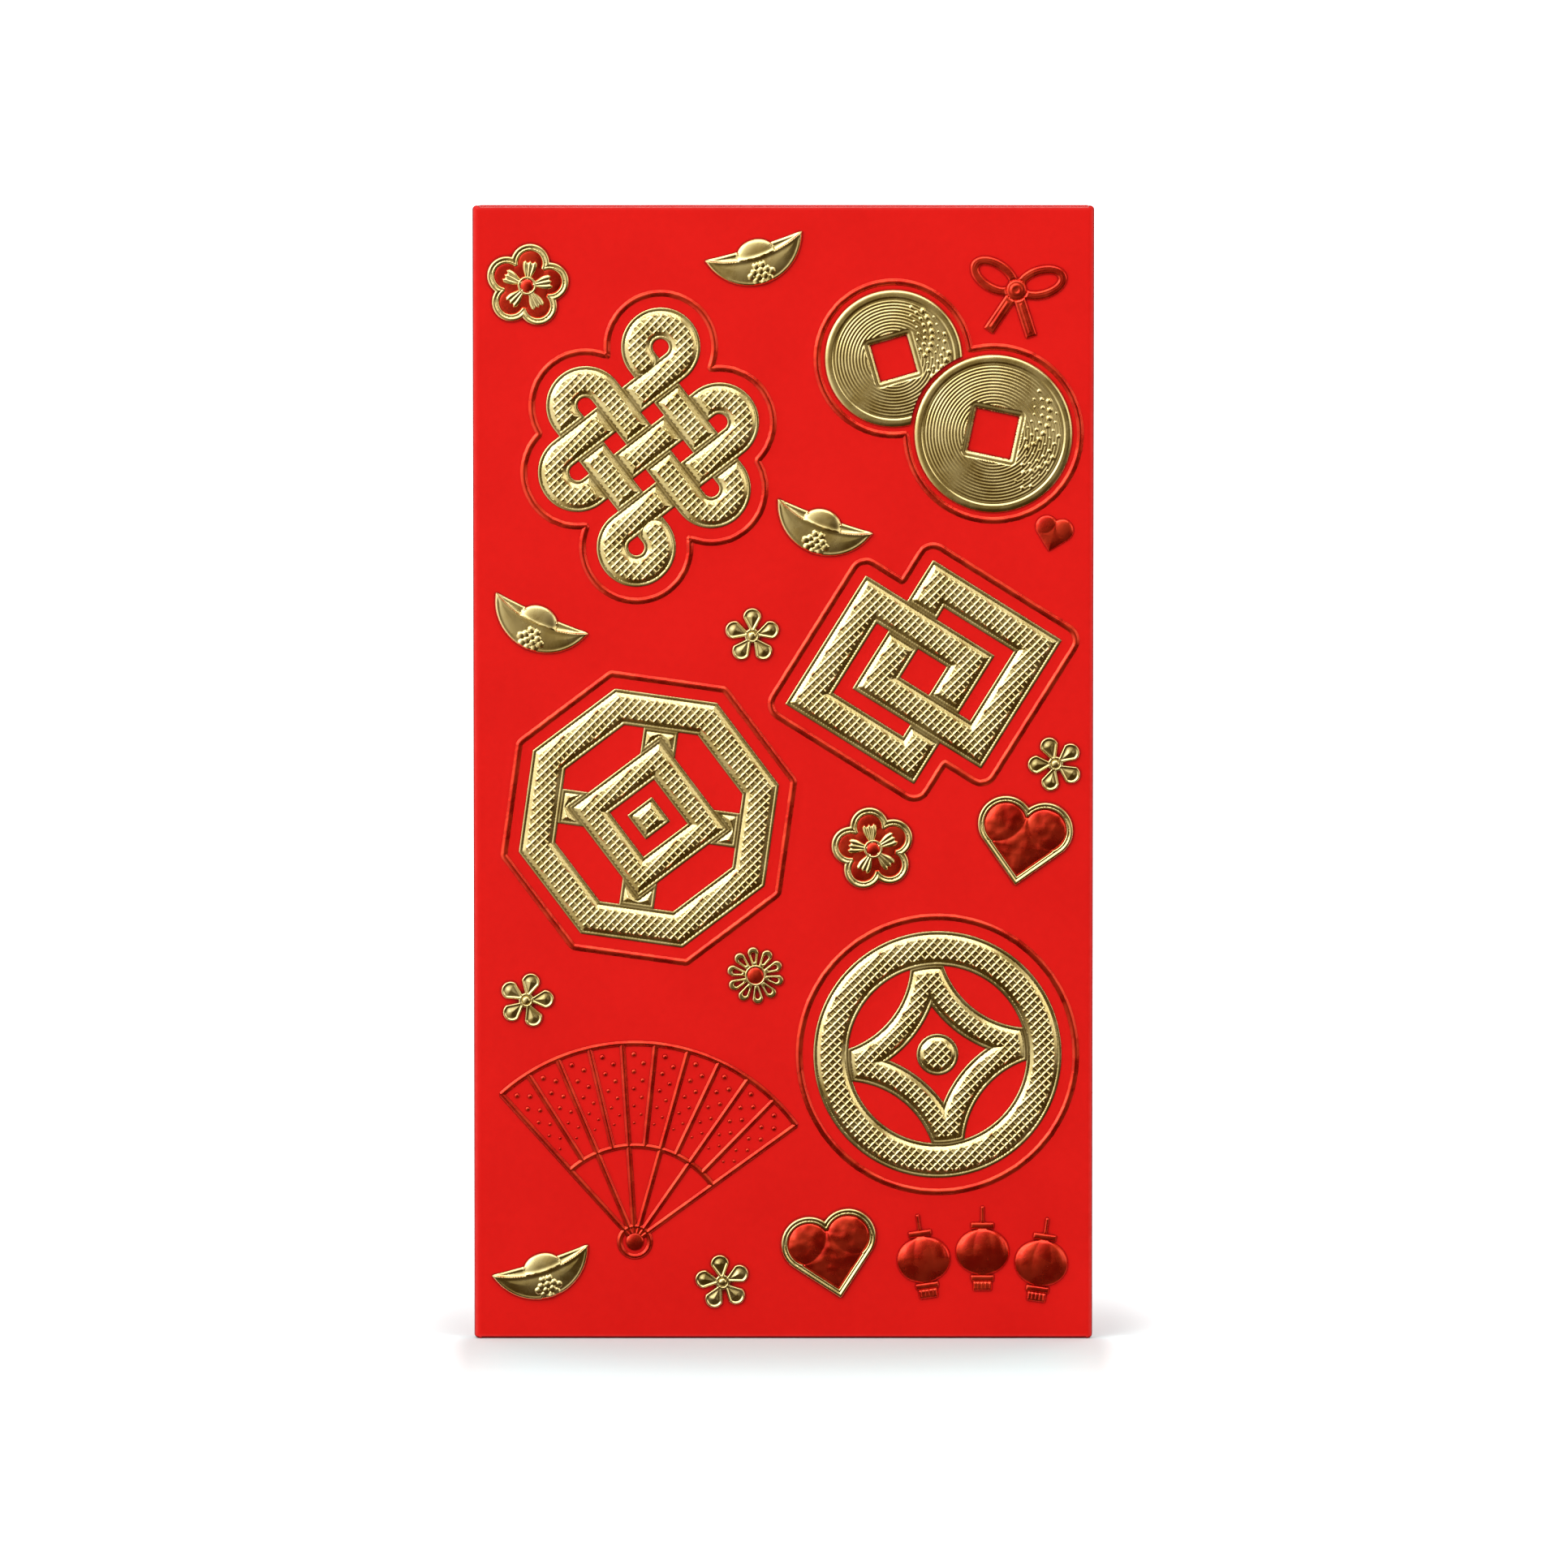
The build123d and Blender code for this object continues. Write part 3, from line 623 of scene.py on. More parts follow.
print("a 10 mm disc is", float(spot(np.array([0j]), 0, 5.0)[0]), "mm deep in its middle")

# %% [markdown]
# ## From depth to relief
# To press an ornament, a fine grid is cut along the line where the depth is zero, and each point
# is lifted by a height rule. Cutting a grid this way is called marching squares: cells wholly inside
# stay square, and cells on the edge are trimmed where the depth changes sign. Walls and a flat back
# then close the solid, which sits a hair inside the card.

# %% March a grid and raise it
sunk = 0.06
least_share = 0.12


def march(depth, centre, reach, step, lean=0.0):
    """Points, faces and edge loops of the part of a square grid that lies inside a shape."""
    count = 2 * math.ceil(reach / step) + 1
    line = (np.arange(count) - count // 2) * step
    p = centre + (line[None, :] + 1j * line[:, None]) * turn(lean)
    d = depth(p)
    d = np.where(np.abs(d) < least_share * step, np.where(d < 0, -1, 1) * least_share * step, d)
    inside = d > 0
    number = np.cumsum(inside).reshape(inside.shape) - 1
    points = list(p[inside])
    corners = [inside[:-1, :-1], inside[:-1, 1:], inside[1:, 1:], inside[1:, :-1]]
    numbers = [number[:-1, :-1], number[:-1, 1:], number[1:, 1:], number[1:, :-1]]
    full = np.logical_and.reduce(corners)
    faces = np.stack([n[full] for n in numbers], axis=1).tolist()
    cuts, following = {}, {}
    for row, column in np.argwhere(np.logical_or.reduce(corners) & ~full):
        ring = [(row, column), (row, column + 1), (row + 1, column + 1), (row + 1, column)]
        face, entering = [], []
        for here, there in zip(ring, ring[1:] + ring[:1]):
            if inside[here]:
                face.append(number[here])
            if inside[here] == inside[there]:
                continue
            key = (min(here, there), max(here, there))
            if key not in cuts:
                cuts[key] = len(points)
                points.append(p[here] + d[here] / (d[here] - d[there]) * (p[there] - p[here]))
            face.append(cuts[key])
            entering.append((cuts[key], bool(inside[there])))
        faces.append(face)
        if entering[0][1]:
            entering = entering[1:] + entering[:1]
        for (leaving, _), (arriving, _) in zip(entering[::2], entering[1::2]):
            following[leaving] = arriving
    loops = []
    while following:
        start, here = following.popitem()
        loop = [start]
        while here != start:
            loop.append(here)
            here = following.pop(here)
        loops.append(loop)
    return np.array(points), faces, loops


def relief(depth, height, reach, step, centre=0j, lean=0.0, base=-sunk):
    """Closed solid on the face: a shape's inside, raised by a height rule."""
    p, faces, loops = march(depth, centre, reach, step, lean)
    rim = [k for loop in loops for k in loop]
    lower = {k: len(p) + place for place, k in enumerate(rim)}
    for loop in loops:
        for here, after in zip(loop, loop[1:] + loop[:1]):
            faces.append([after, here, lower[here], lower[after]])
    outlines = [[Vector((p[k].real, p[k].imag)) for k in loop] for loop in loops]
    for triangle in tessellate_polygon(outlines):
        a, b, c = (p[rim[k]] for k in triangle)
        order = triangle if ((b - a).conjugate() * (c - a)).imag < 0 else triangle[::-1]
        faces.append([lower[rim[k]] for k in order])
    top = np.column_stack([p.real, p.imag, height(p)])
    bottom = np.column_stack([p[rim].real, p[rim].imag, np.full(len(rim), base)])
    return np.vstack([top, bottom]), faces


def onto_face(points):
    """Points drawn flat, X and Y with height Z, stood up on the packet's front face."""
    return np.column_stack([points[:, 0], face_y - points[:, 2], points[:, 1]])


def press_gold(name, node, solid):
    """Gold piece from a flat-drawn solid."""
    points, faces = solid
    made = make_piece(name, onto_face(points), faces, (gold_foil,), smooth=foil_round_below)
    return dress(made, "pocket", "gold_foil", node)


print("foil sits", sunk, "mm deep in the card")

# %% [markdown]
# ## Hatched gold emblems
# The four large emblems are broad gold strokes. Each stroke has a bead along its edge, a bevel, a
# crowned field inside it, and two sets of fine ridges that cross on the field, one set stronger
# than the other, so that the foil glitters line by line. Strokes that cross are laid over and under
# each other. The grid is turned by the ridges' own angle, so that every ridge lies along a row of
# points and stays crisp.

# %% Height of a hatched stroke
stroke_wall = 0.1
stroke_bead = 0.4
stroke_bead_height = 0.13
stroke_bevel = 0.58
stroke_bevel_rise = 0.4
stroke_crown = 0.14
stroke_half = 2.4
hatch_pitch = 0.86
hatch_ridge = 0.34
hatch_height = 0.13
hatch_cross_share = 0.86
hatch_lean = 45.0
hatch_steps = 9
hatch_fade = 0.1
bead_overlap = 0.05


def hatch(p):
    """Two sets of ridges that cross at right angles, from 0 to 1."""
    q = p * turn(-hatch_lean)
    ridges = [
        np.clip(1 - np.abs((t / hatch_pitch + 0.5) % 1 - 0.5) * hatch_pitch * 2 / hatch_ridge, 0, 1)
        for t in (q.real, q.imag)
    ]
    return np.maximum(ridges[0] * hatch_cross_share, ridges[1])


def hatched_stroke(p, d):
    """Height of a gold stroke from its depth: edge bead, bevel, crowned field and ridges."""
    inner = stroke_bead + stroke_bevel
    on_bead = np.minimum(d + bead_overlap, stroke_bead + bead_overlap - d)
    bead = stroke_bead_height * rounded(on_bead, stroke_bead / 2)
    bevel = stroke_bevel_rise * np.clip((d - stroke_bead) / stroke_bevel, 0, 1)
    crown = np.clip((d - inner) / (stroke_half - inner), 0, 1)
    field = stroke_crown * crown * (2 - crown)
    ridges = hatch_height * hatch(p) * climb(d, inner - hatch_fade, inner + hatch_fade)
    return stroke_wall + bead + bevel + field + ridges


def laid_over(over, under):
    """Depth where one stroke passes over another and the lower one dips at its edge."""
    return np.where(over > 0, over, np.minimum(under, -over))


print("ridges stand", hatch_pitch, "mm apart, with", hatch_steps, "rows of points to each")

# %% Strokes of the four emblems
knot_pitch = 6.9
knot_stroke = 4.5
lozenge_side = 22.0
lozenge_stroke = 5.0
lozenge_shift = 10.0
window_across = 36.0
window_stroke = 5.0
window_lozenge = 16.5
window_lozenge_stroke = 4.2
window_stud = 4.4
ring_radius = 18.0
ring_stroke = 5.0
ring_arc_stroke = 4.2
ring_stud = 3.0


def knot_strands(p):
    """Level and upright strands of a knot of three bars across three, joined by loops."""
    half = knot_pitch / 2
    reach = knot_pitch + half
    rows = (-knot_pitch, 0, knot_pitch)
    level = [bar(p, complex(-reach, v), complex(reach, v), knot_stroke) for v in rows]
    upright = [bar(p, complex(u, -reach), complex(u, reach), knot_stroke) for u in rows]
    for side in (p, -p):
        corner = bend(side, complex(reach, reach), half, -90, 270, knot_stroke)
        level += [corner, bend(side, complex(reach, -half), half, -90, 180, knot_stroke)]
        upright += [corner, bend(side, complex(-half, reach), half, 0, 180, knot_stroke)]
    return most(level), most(upright)


def knot_outline(p):
    """Depth in the whole knot."""
    return np.maximum(*knot_strands(p))


def knot_weave(p):
    """Depth in the upper strand at each place of the knot."""
    level, upright = knot_strands(p)
    even = (np.round(p.real / knot_pitch) + np.round(p.imag / knot_pitch)) % 2 == 0
    woven = np.where(even, laid_over(level, upright), laid_over(upright, level))
    within = np.maximum(np.abs(p.real), np.abs(p.imag)) < 1.5 * knot_pitch
    return np.where(within, woven, np.maximum(level, upright))


def lozenge_fields(p):
    """Depths in the two lozenges, filled."""
    shift = lozenge_shift / 2
    return [slab((p - u) * turn(-45), lozenge_side, lozenge_side) for u in (-shift, shift)]


def lozenge_outline(p):
    """Depth in both lozenges together, filled."""
    return most(lozenge_fields(p))


def lozenge_rings(p):
    """Depths in the two lozenge rings."""
    return [np.minimum(field, lozenge_stroke - field) for field in lozenge_fields(p)]


def lozenge_weave(p):
    """Depth in the upper ring where the two lozenges interlock."""
    first, second = lozenge_rings(p)
    return np.where(p.imag > 0, laid_over(first, second), laid_over(second, first))


def window_outline(p):
    """Depth in the eight-sided window, filled."""
    return many_sided(p, 8, window_across)


def window_strokes(p):
    """Depths in the window's frame, lozenge, four bars and stud."""
    outside = window_outline(p)
    lozenge = slab(p * turn(45), window_lozenge, window_lozenge)
    start = window_lozenge / math.sqrt(2) - window_stroke / 2
    end = window_across / 2 - window_stroke / 2
    bars = [slab(p * turn(a) - (start + end) / 2, end - start, window_stroke) for a in (0, 90, 180, 270)]
    return (
        np.minimum(outside, window_stroke - outside),
        np.minimum(lozenge, window_lozenge_stroke - lozenge),
        most(bars),
        slab(p * turn(45), window_stud, window_stud),
    )


def window_weave(p):
    """Depth in the window's uppermost stroke."""
    rim, lozenge, bars, stud = window_strokes(p)
    return np.maximum(laid_over(rim, laid_over(lozenge, bars)), stud)


def ring_outline(p):
    """Depth in the round emblem, filled."""
    return spot(p, 0, ring_radius)


def ring_strokes(p):
    """Depths in the ring, its four arcs and its stud."""
    outside = ring_outline(p)
    reach = ring_radius - ring_stroke / 2
    centre = complex(reach, reach)
    arcs = [bend(p * turn(a), centre, reach, 180, 90, ring_arc_stroke) for a in (0, 90, 180, 270)]
    return np.minimum(outside, ring_stroke - outside), most(arcs), spot(p, 0, ring_stud)


def ring_weave(p):
    """Depth in the round emblem's uppermost stroke."""
    rim, arcs, stud = ring_strokes(p)
    return np.maximum(laid_over(rim, arcs), stud)


def set_at(rule, centre, tilt):
    """The rule of a shape, moved to a place and turned."""
    return lambda p: rule((p - centre) * turn(-tilt))


print("strokes are", knot_stroke, "to", window_stroke, "mm wide")

# %% Press the four emblems
emblem_step = hatch_pitch / hatch_steps
EMBLEMS = {
    "knot": ((-0.217, 0.788), 38.0, knot_outline, knot_weave, knot_outline, 21.0),
    "lozenge": ((0.226, 0.590), 13.0, lozenge_outline, lozenge_weave,
                lambda p: most(lozenge_rings(p)), 21.0),
    "window": ((-0.217, 0.461), -8.0, window_outline, window_weave,
               lambda p: most(window_strokes(p)), 20.0),
    "ring": ((0.249, 0.252), 7.0, ring_outline, ring_weave,
             lambda p: most(ring_strokes(p)), 18.5),
}
swells = []
for name, (shares, tilt, outline, weave, strokes, reach) in EMBLEMS.items():
    centre = on_face(shares)
    depth = set_at(strokes, centre, tilt)
    woven = set_at(weave, centre, tilt)
    solid = relief(
        depth, lambda p: hatched_stroke(p - centre, np.maximum(woven(p), 0)),
        reach, emblem_step, centre, hatch_lean)
    press_gold(f"gold_{name}", f"{name}_emblem", solid)
    swells.append((centre, reach, depth))

# %% [markdown]
# ## Pressed lines
# A thin red foil line runs round each emblem and round the pair of coins. Such a line follows a
# path, so Geometry Nodes makes it: the path is swept with a section that has a short wall, broad
# sloping shoulders that catch the light and a flat top that stays dark. The node tree takes the
# line's width and height as inputs, and serves every line on the packet.


# %% Node trees and how they are run
def start_tree(name, inputs):
    """New Geometry Nodes tree with named inputs: the tree and a wire to each input."""
    tree = bpy.data.node_groups.new(name, "GeometryNodeTree")
    tree.interface.new_socket("Geometry", in_out="OUTPUT", socket_type="NodeSocketGeometry")
    for label, kind in inputs.items():
        tree.interface.new_socket(label, in_out="INPUT", socket_type=f"NodeSocket{kind}")
    entry = tree.nodes.new("NodeGroupInput")
    return tree, {label: Wire(tree, entry.outputs[label]) for label in inputs}


def end_tree(tree, shape, finish):
    """Close a tree: real geometry, smooth shading and its finish."""
    real = shape.node("GeometryNodeRealizeInstances", {}, {0: shape})
    smooth = real.node("GeometryNodeSetShadeSmooth", {}, {0: real})
    done = smooth.node("GeometryNodeSetMaterial", {}, {0: smooth, "Material": finish})
    tree.links.new(done.socket, tree.nodes.new("NodeGroupOutput").inputs[0])


def run_tree(tree, points_mm, edges=(), attributes=None, **values):
    """Plain flat-drawn mesh that a tree makes from points, their attributes and its inputs."""
    mesh = bpy.data.meshes.new(tree.name)
    flat = [(p.real * MM, p.imag * MM, 0) for p in points_mm]
    mesh.from_pydata(flat, list(edges), [])
    for label, numbers in (attributes or {}).items():
        mesh.attributes.new(label, "FLOAT", "POINT").data.foreach_set("value", list(numbers))
    holder = add_object(tree.name, mesh)
    modifier = holder.modifiers.new("rule", "NODES")
    modifier.node_group = tree
    for socket in tree.interface.items_tree:
        if socket.in_out == "INPUT" and socket.name in values:
            modifier[socket.identifier] = values[socket.name]
    evaluated = holder.evaluated_get(bpy.context.evaluated_depsgraph_get())
    made = bpy.data.meshes.new_from_object(evaluated)
    bpy.data.objects.remove(holder)
    return made


face_matrix = Matrix(((1, 0, 0, 0), (0, 0, -1, face_y * MM), (0, 1, 0, 0), (0, 0, 0, 1)))


def join_flat(meshes):
    """One flat-drawn mesh from several."""
    points, faces = [], []
    for mesh in meshes:
        count = len(points)
        points += [tuple(vertex.co) for vertex in mesh.vertices]
        faces += [[k + count for k in face.vertices] for face in mesh.polygons]
    joined = bpy.data.meshes.new("joined")
    joined.from_pydata(points, [], faces)
    joined.shade_smooth()
    return joined


def stamp(name, slot, node, *meshes):
    """Foil piece from flat-drawn meshes, stood up together on the packet's front face."""
    mesh = meshes[0] if len(meshes) == 1 else join_flat(meshes)
    mesh.transform(face_matrix)
    mesh.name = name
    mesh.materials.clear()
    mesh.materials.append(foils[slot])
    mesh.polygons.foreach_set("material_index", [0] * len(mesh.polygons))
    mesh.set_sharp_from_angle(angle=math.radians(round_below))
    return dress(add_object(name, mesh), "pocket", slot, node)


print("flat drawings stand up at y", round(face_y, 2), "mm")

# %% Tree for a pressed line
line_points = 15
line_wall_share = 0.4
line_wall_width = 0.02
line_shoulder_share = 0.75

line_tree, line = start_tree(
    "pressed_line",
    {"Path": "Geometry", "Width": "Float", "Height": "Float", "Finish": "Material"},
)
path = line["Path"].node("GeometryNodeMeshToCurve", {}, {0: line["Path"]})
path = path.node("GeometryNodeSetCurveNormal", {"mode": "Z_UP"}, {0: path})
section = path.node(
    "GeometryNodeCurveArc",
    {"mode": "RADIUS"},
    {"Resolution": line_points, "Radius": 1.0, "Start Angle": math.pi, "Sweep Angle": math.pi},
)
sideways = section.node("GeometryNodeInputPosition").axis("X")
inward = 1 - abs(sideways)
wall = inward.ramp(0.0, line_wall_width, 0.0, line_wall_share)
fullness = wall + inward.ramp(0.0, line_shoulder_share, 0.0, 1 - line_wall_share)
shaped = section.node("ShaderNodeCombineXYZ", {}, {
    "X": sideways * line["Width"] * 0.5,
    "Y": sunk * MM - fullness * (line["Height"] + sunk * MM)})
section = section.node("GeometryNodeSetPosition", {}, {0: section, "Position": shaped})
section = section.node("GeometryNodeSetSplineCyclic", {}, {0: section, "Cyclic": True})
swept = section.node("GeometryNodeCurveToMesh", {}, {
    "Curve": path, "Profile Curve": section, "Fill Caps": True})
end_tree(line_tree, swept, line["Finish"])


def add_line(points, edges, path, closed=False):
    """Add one line to a drawing's points and edges."""
    first = len(points)
    points.extend(path)
    edges.extend((first + k, first + k + 1) for k in range(len(path) - 1))
    if closed:
        edges.append((first + len(path) - 1, first))


def draw_lines(points, edges, width, height):
    """Flat-drawn mesh of red foil lines along a drawing's edges."""
    return run_tree(line_tree, points, edges, Width=width * MM, Height=height * MM, Finish=red_foil)


print("pressed-line tree:", len(line_tree.nodes), "nodes")

# %% Lines round the emblems
keyline_gap = 1.6
keyline_width = 1.0
keyline_relief = 0.32
keyline_step = 0.35
keyline_room = 5.0


def keyline(name, outline, gap, centre, reach, node):
    """Red line that follows an outline at an even distance."""
    grown = gap + keyline_width / 2
    p, _, loops = march(lambda q: outline(q) + grown, centre, reach, keyline_step)
    points, edges = [], []
    for loop in loops:
        add_line(points, edges, p[loop], closed=True)
    stamp(name, "red_foil", node, draw_lines(points, edges, keyline_width, keyline_relief))
    swells.append((centre, reach, lambda q: keyline_width / 2 - np.abs(outline(q) + grown)))


for name, (shares, tilt, outline, _, _, reach) in EMBLEMS.items():
    centre = on_face(shares)
    keyline(f"red_line_{name}", set_at(outline, centre, tilt), keyline_gap, centre,
            reach + keyline_room, f"{name}_keyline")

# %% [markdown]
# ## The pair of coins
# Two old-style coins with square holes stand at the top right. A coin is a crowned gold field
# between a rim and the raised edge of its hole, turned with fine rings as on a lathe. On its right
# the field is pressed with beads of three sizes. They lie along a sunflower spiral, which spreads
# them evenly without lining them up.

# %% Press the coins
coin_rim, coin_rim_foot, coin_rim_height = 1.3, 0.12, 0.55
coin_hole_rim, coin_collar_foot, coin_collar_rise = 0.9, 0.2, 0.4
coin_field_height = 0.3
coin_crown = 0.5
coin_ring_pitch, coin_ring_height, coin_ring_fade = 0.46, 0.032, 0.4
coin_bead_radii = (0.17, 0.26, 0.38)
coin_bead_count = 230
coin_bead_spread, coin_bead_start, coin_bead_rise = 0.84, 0.4, 0.55
sunflower_angle = 137.5
coin_gap = 0.6
coin_step, coin_room = 0.08, 0.5
front_coin, front_coin_radius = on_face((0.338, 0.800)), 11.5
rear_coin, rear_coin_radius = front_coin + 18.1 * turn(143), 10.0
COINS = {
    "front_coin": (front_coin, front_coin_radius, 6.4, -12.0),
    "rear_coin": (rear_coin, rear_coin_radius, 5.6, 16.0),
}


def coin_beads(q, radius):
    """Height of the beads on the right of a coin."""
    beads = np.zeros(q.shape)
    for k in range(coin_bead_count):
        place = coin_bead_spread * radius * math.sqrt(k / coin_bead_count) * turn(sunflower_angle * k)
        if place.real > coin_bead_start * radius:
            bead = coin_bead_radii[k % 3]
            beads = np.maximum(beads, coin_bead_rise * bead * rounded(spot(q, place, bead), bead))
    return beads


def ridge(d, width):
    """Round ridge along an edge, from 0 to 1, and its share in the height."""
    return rounded(np.minimum(d, 1.35 * width - d), width / 2), 1 - climb(d, 0.8 * width, width)


def coin_height(q, radius, hole):
    """Height of a coin about its own middle."""
    edge = spot(q, 0, radius)
    crown = coin_crown * (1 - (np.abs(q) / radius) ** 2)
    rings = coin_ring_height * np.cos(np.abs(q) * 2 * math.pi / coin_ring_pitch)
    beads = coin_beads(q, radius)
    turned = rings * climb(edge, coin_rim, coin_rim + coin_ring_fade) * (beads == 0)
    field = coin_field_height + crown + beads + turned
    rim, rim_share = ridge(edge, coin_rim)
    rim = coin_rim_foot + (coin_rim_height - coin_rim_foot) * rim
    collar, collar_share = ridge(-slab(q, hole, hole), coin_hole_rim)
    collar = coin_collar_foot + coin_collar_rise * collar
    raised = field + (rim - field) * rim_share
    return raised + (np.maximum(collar, field * 0.5) - raised) * collar_share


def coin_depth(p, centre, radius, hole, tilt):
    """Depth in a coin with a square hole."""
    q = (p - centre) * turn(-tilt)
    return np.minimum(spot(q, 0, radius), -slab(q, hole, hole))


def front_coin_depth(p):
    """Depth in the front coin."""
    return coin_depth(p, *COINS["front_coin"])


def rear_coin_depth(p):
    """Depth in the rear coin, cut back where the front coin covers it."""
    covering = spot(p, front_coin, front_coin_radius + coin_gap)
    return np.minimum(coin_depth(p, *COINS["rear_coin"]), -covering)


def coin_pair(p):
    """Depth in both coins together, filled."""
    return np.maximum(spot(p, front_coin, front_coin_radius), spot(p, rear_coin, rear_coin_radius))


for name, depth in (("front_coin", front_coin_depth), ("rear_coin", rear_coin_depth)):
    centre, radius, hole, tilt = COINS[name]
    height = set_at(lambda q: coin_height(q, radius, hole), centre, tilt)
    press_gold(f"gold_{name}", name, relief(depth, height, radius + coin_room, coin_step, centre))
    swells.append((centre, radius, depth))

coin_keyline_gap, coin_keyline_reach = 0.6, 26.0
keyline("red_line_coins", coin_pair, coin_keyline_gap, (front_coin + rear_coin) / 2,
        coin_keyline_reach, "coin_keyline")

# %% Tree that sets out small ornaments
scatter_tree, scatter = start_tree(
    "set_out_ornaments",
    {"Places": "Geometry", "Ornament": "Object", "Finish": "Material"},
)
model = scatter["Ornament"].node(
    "GeometryNodeObjectInfo", {}, {"Object": scatter["Ornament"]}, "Geometry")
lean = model.node("GeometryNodeInputNamedAttribute", {"data_type": "FLOAT"}, {"Name": "turn"})
size = model.node("GeometryNodeInputNamedAttribute", {"data_type": "FLOAT"}, {"Name": "size"})
about = lean.node("ShaderNodeCombineXYZ", {}, {"Z": lean})
spread = model.node("GeometryNodeInstanceOnPoints", {}, {
    "Points": scatter["Places"], "Instance": model, "Rotation": about, "Scale": size})
end_tree(scatter_tree, spread, scatter["Finish"])


def set_out(solid, places, tilts, slot, sizes=None):
    """Flat-drawn mesh with a copy of an ornament at every place."""
    model = make_piece("ornament", *solid, (foils[slot],), smooth=foil_round_below)
    attributes = {"turn": [math.radians(t) for t in tilts], "size": sizes or [1.0] * len(places)}
    mesh = run_tree(scatter_tree, places, (), attributes, Ornament=model, Finish=foils[slot])
    bpy.data.objects.remove(model)
    return mesh


def press(name, slot, node, solid, places, tilts):
    """Foil piece with a copy of an ornament at every place."""
    return stamp(name, slot, node, set_out(solid, places, tilts, slot))


print("ornament tree:", len(scatter_tree.nodes), "nodes")

# %% [markdown]
# ## Small ornaments
# Round the large emblems lie lanterns, ingots, hearts, a bow and several blossoms. Each kind is
# drawn once as a depth and a height rule, then set out at its places by the ornament tree.
# Domes use the quarter-round climb, rims are rings cut from the same depth, and the lanterns' ribs
# are ripples that follow the curve of the body.

# %% Lanterns
lantern_places = [on_face(s) for s in ((0.227, 0.070), (0.322, 0.077), (0.417, 0.067))]
lantern_tilts = (8.0, 0.0, -8.0)
lantern_width, lantern_height = 7.8, 6.8
lantern_ribs = 9
lantern_wall, lantern_dome, lantern_rib_height = 0.1, 0.75, 0.07
lantern_cap, lantern_cord, lantern_tassel = (0.45, 3.4, 0.9), (2.1, 0.5, 2.4), (1.6, 2.8, 1.4)
trim_wall, trim_rise, trim_round = 0.12, 0.26, 0.35
thread_pitch, thread_height = 0.56, 0.06


def lantern_body(p):
    """Depth in a lantern's body."""
    return oval(p, lantern_width, lantern_height)


def lantern_swell(p):
    """Height of a lantern's body: a dome with ribs from cap to cap."""
    u = p.real * 2 / lantern_width
    v = np.clip(p.imag * 2 / lantern_height, -0.98, 0.98)
    dome = np.sqrt(np.clip(1 - np.hypot(u, v) ** 2, 0, 1))
    angle = np.arcsin(np.clip(u / np.sqrt(1 - v**2), -1, 1))
    ribs = lantern_rib_height * dome * np.abs(np.cos(angle * lantern_ribs / 2))
    return lantern_wall + lantern_dome * dome + ribs


def lantern_trim(p):
    """Depth in a lantern's caps, cord and tassel, each given by its middle, width and height."""
    upper = [slab(p - 1j * (lantern_height / 2 + m), w, h) for m, w, h in (lantern_cap, lantern_cord)]
    lower = [slab(p + 1j * (lantern_height / 2 + m), w, h) for m, w, h in (lantern_cap, lantern_tassel)]
    return most(upper + lower)


def lantern_trim_height(p):
    """Height of a lantern's trims, with threads in the tassel."""
    low = p.imag < -lantern_height / 2 - lantern_cap[2]
    threads = thread_height * np.cos(p.real * 2 * math.pi / thread_pitch) * low
    return trim_wall + trim_rise * rounded(lantern_trim(p), trim_round) + threads


press("red_lanterns", "red_foil", "lantern_bodies",
      relief(lantern_body, lantern_swell, 4.2, 0.11), lantern_places, lantern_tilts)
press("red_lantern_trims", "red_foil", "lantern_trims",
      relief(lantern_trim, lantern_trim_height, 7.2, 0.1), lantern_places, lantern_tilts)

# %% Ingots
ingot_places = [
    on_face(s) for s in ((-0.400, 0.628), (-0.385, 0.055), (0.058, 0.713), (-0.040, 0.950))]
ingot_tilts = (-24.0, 18.0, -20.0, 17.0)
ingot_half_length, ingot_horn_rise, ingot_hull_foot = 7.4, 2.6, -3.2
ingot_front_rim, ingot_back_rim = 0.8, 2.3
ingot_dome_rise, ingot_dome_width, ingot_dome_height = 1.2, 5.8, 4.6
ingot_hull_wall, ingot_hull_swell, ingot_hull_round = 0.14, 0.46, 2.1
ingot_floor, ingot_floor_swell = 0.16, 0.06
ingot_dome_swell, ingot_dome_round = 0.58, 2.2
ingot_rib, ingot_rib_height = 0.34, 0.17
ingot_trim, ingot_trim_width, ingot_trim_height = 0.28, 0.2, 0.13
ingot_bead, ingot_bead_height = 0.5, 0.22
ingot_beads = [-1.15j] + [0.95 * turn(60 * k) - 1.15j for k in range(6)]
ingot_beads += [1.65 * turn(36 * k + 198) - 1.15j for k in range(5)]


def hung_arc(p, low):
    """Depth in the circle that passes through both horns and hangs down to a height."""
    sag = ingot_horn_rise - low
    radius = (ingot_half_length**2 + sag**2) / (2 * sag)
    return spot(p, 1j * (radius + low), radius)


def ingot_boat(p):
    """Depth in an ingot's hull and its inside, from the foot up to the back rim."""
    return np.minimum(hung_arc(p, ingot_hull_foot), -hung_arc(p, ingot_back_rim))


def ingot_dome(p):
    """Depth in an ingot's dome."""
    return oval(p - 1j * ingot_dome_rise, ingot_dome_width, ingot_dome_height)


def ingot_depth(p):
    """Depth in the whole ingot."""
    return np.maximum(ingot_boat(p), ingot_dome(p))


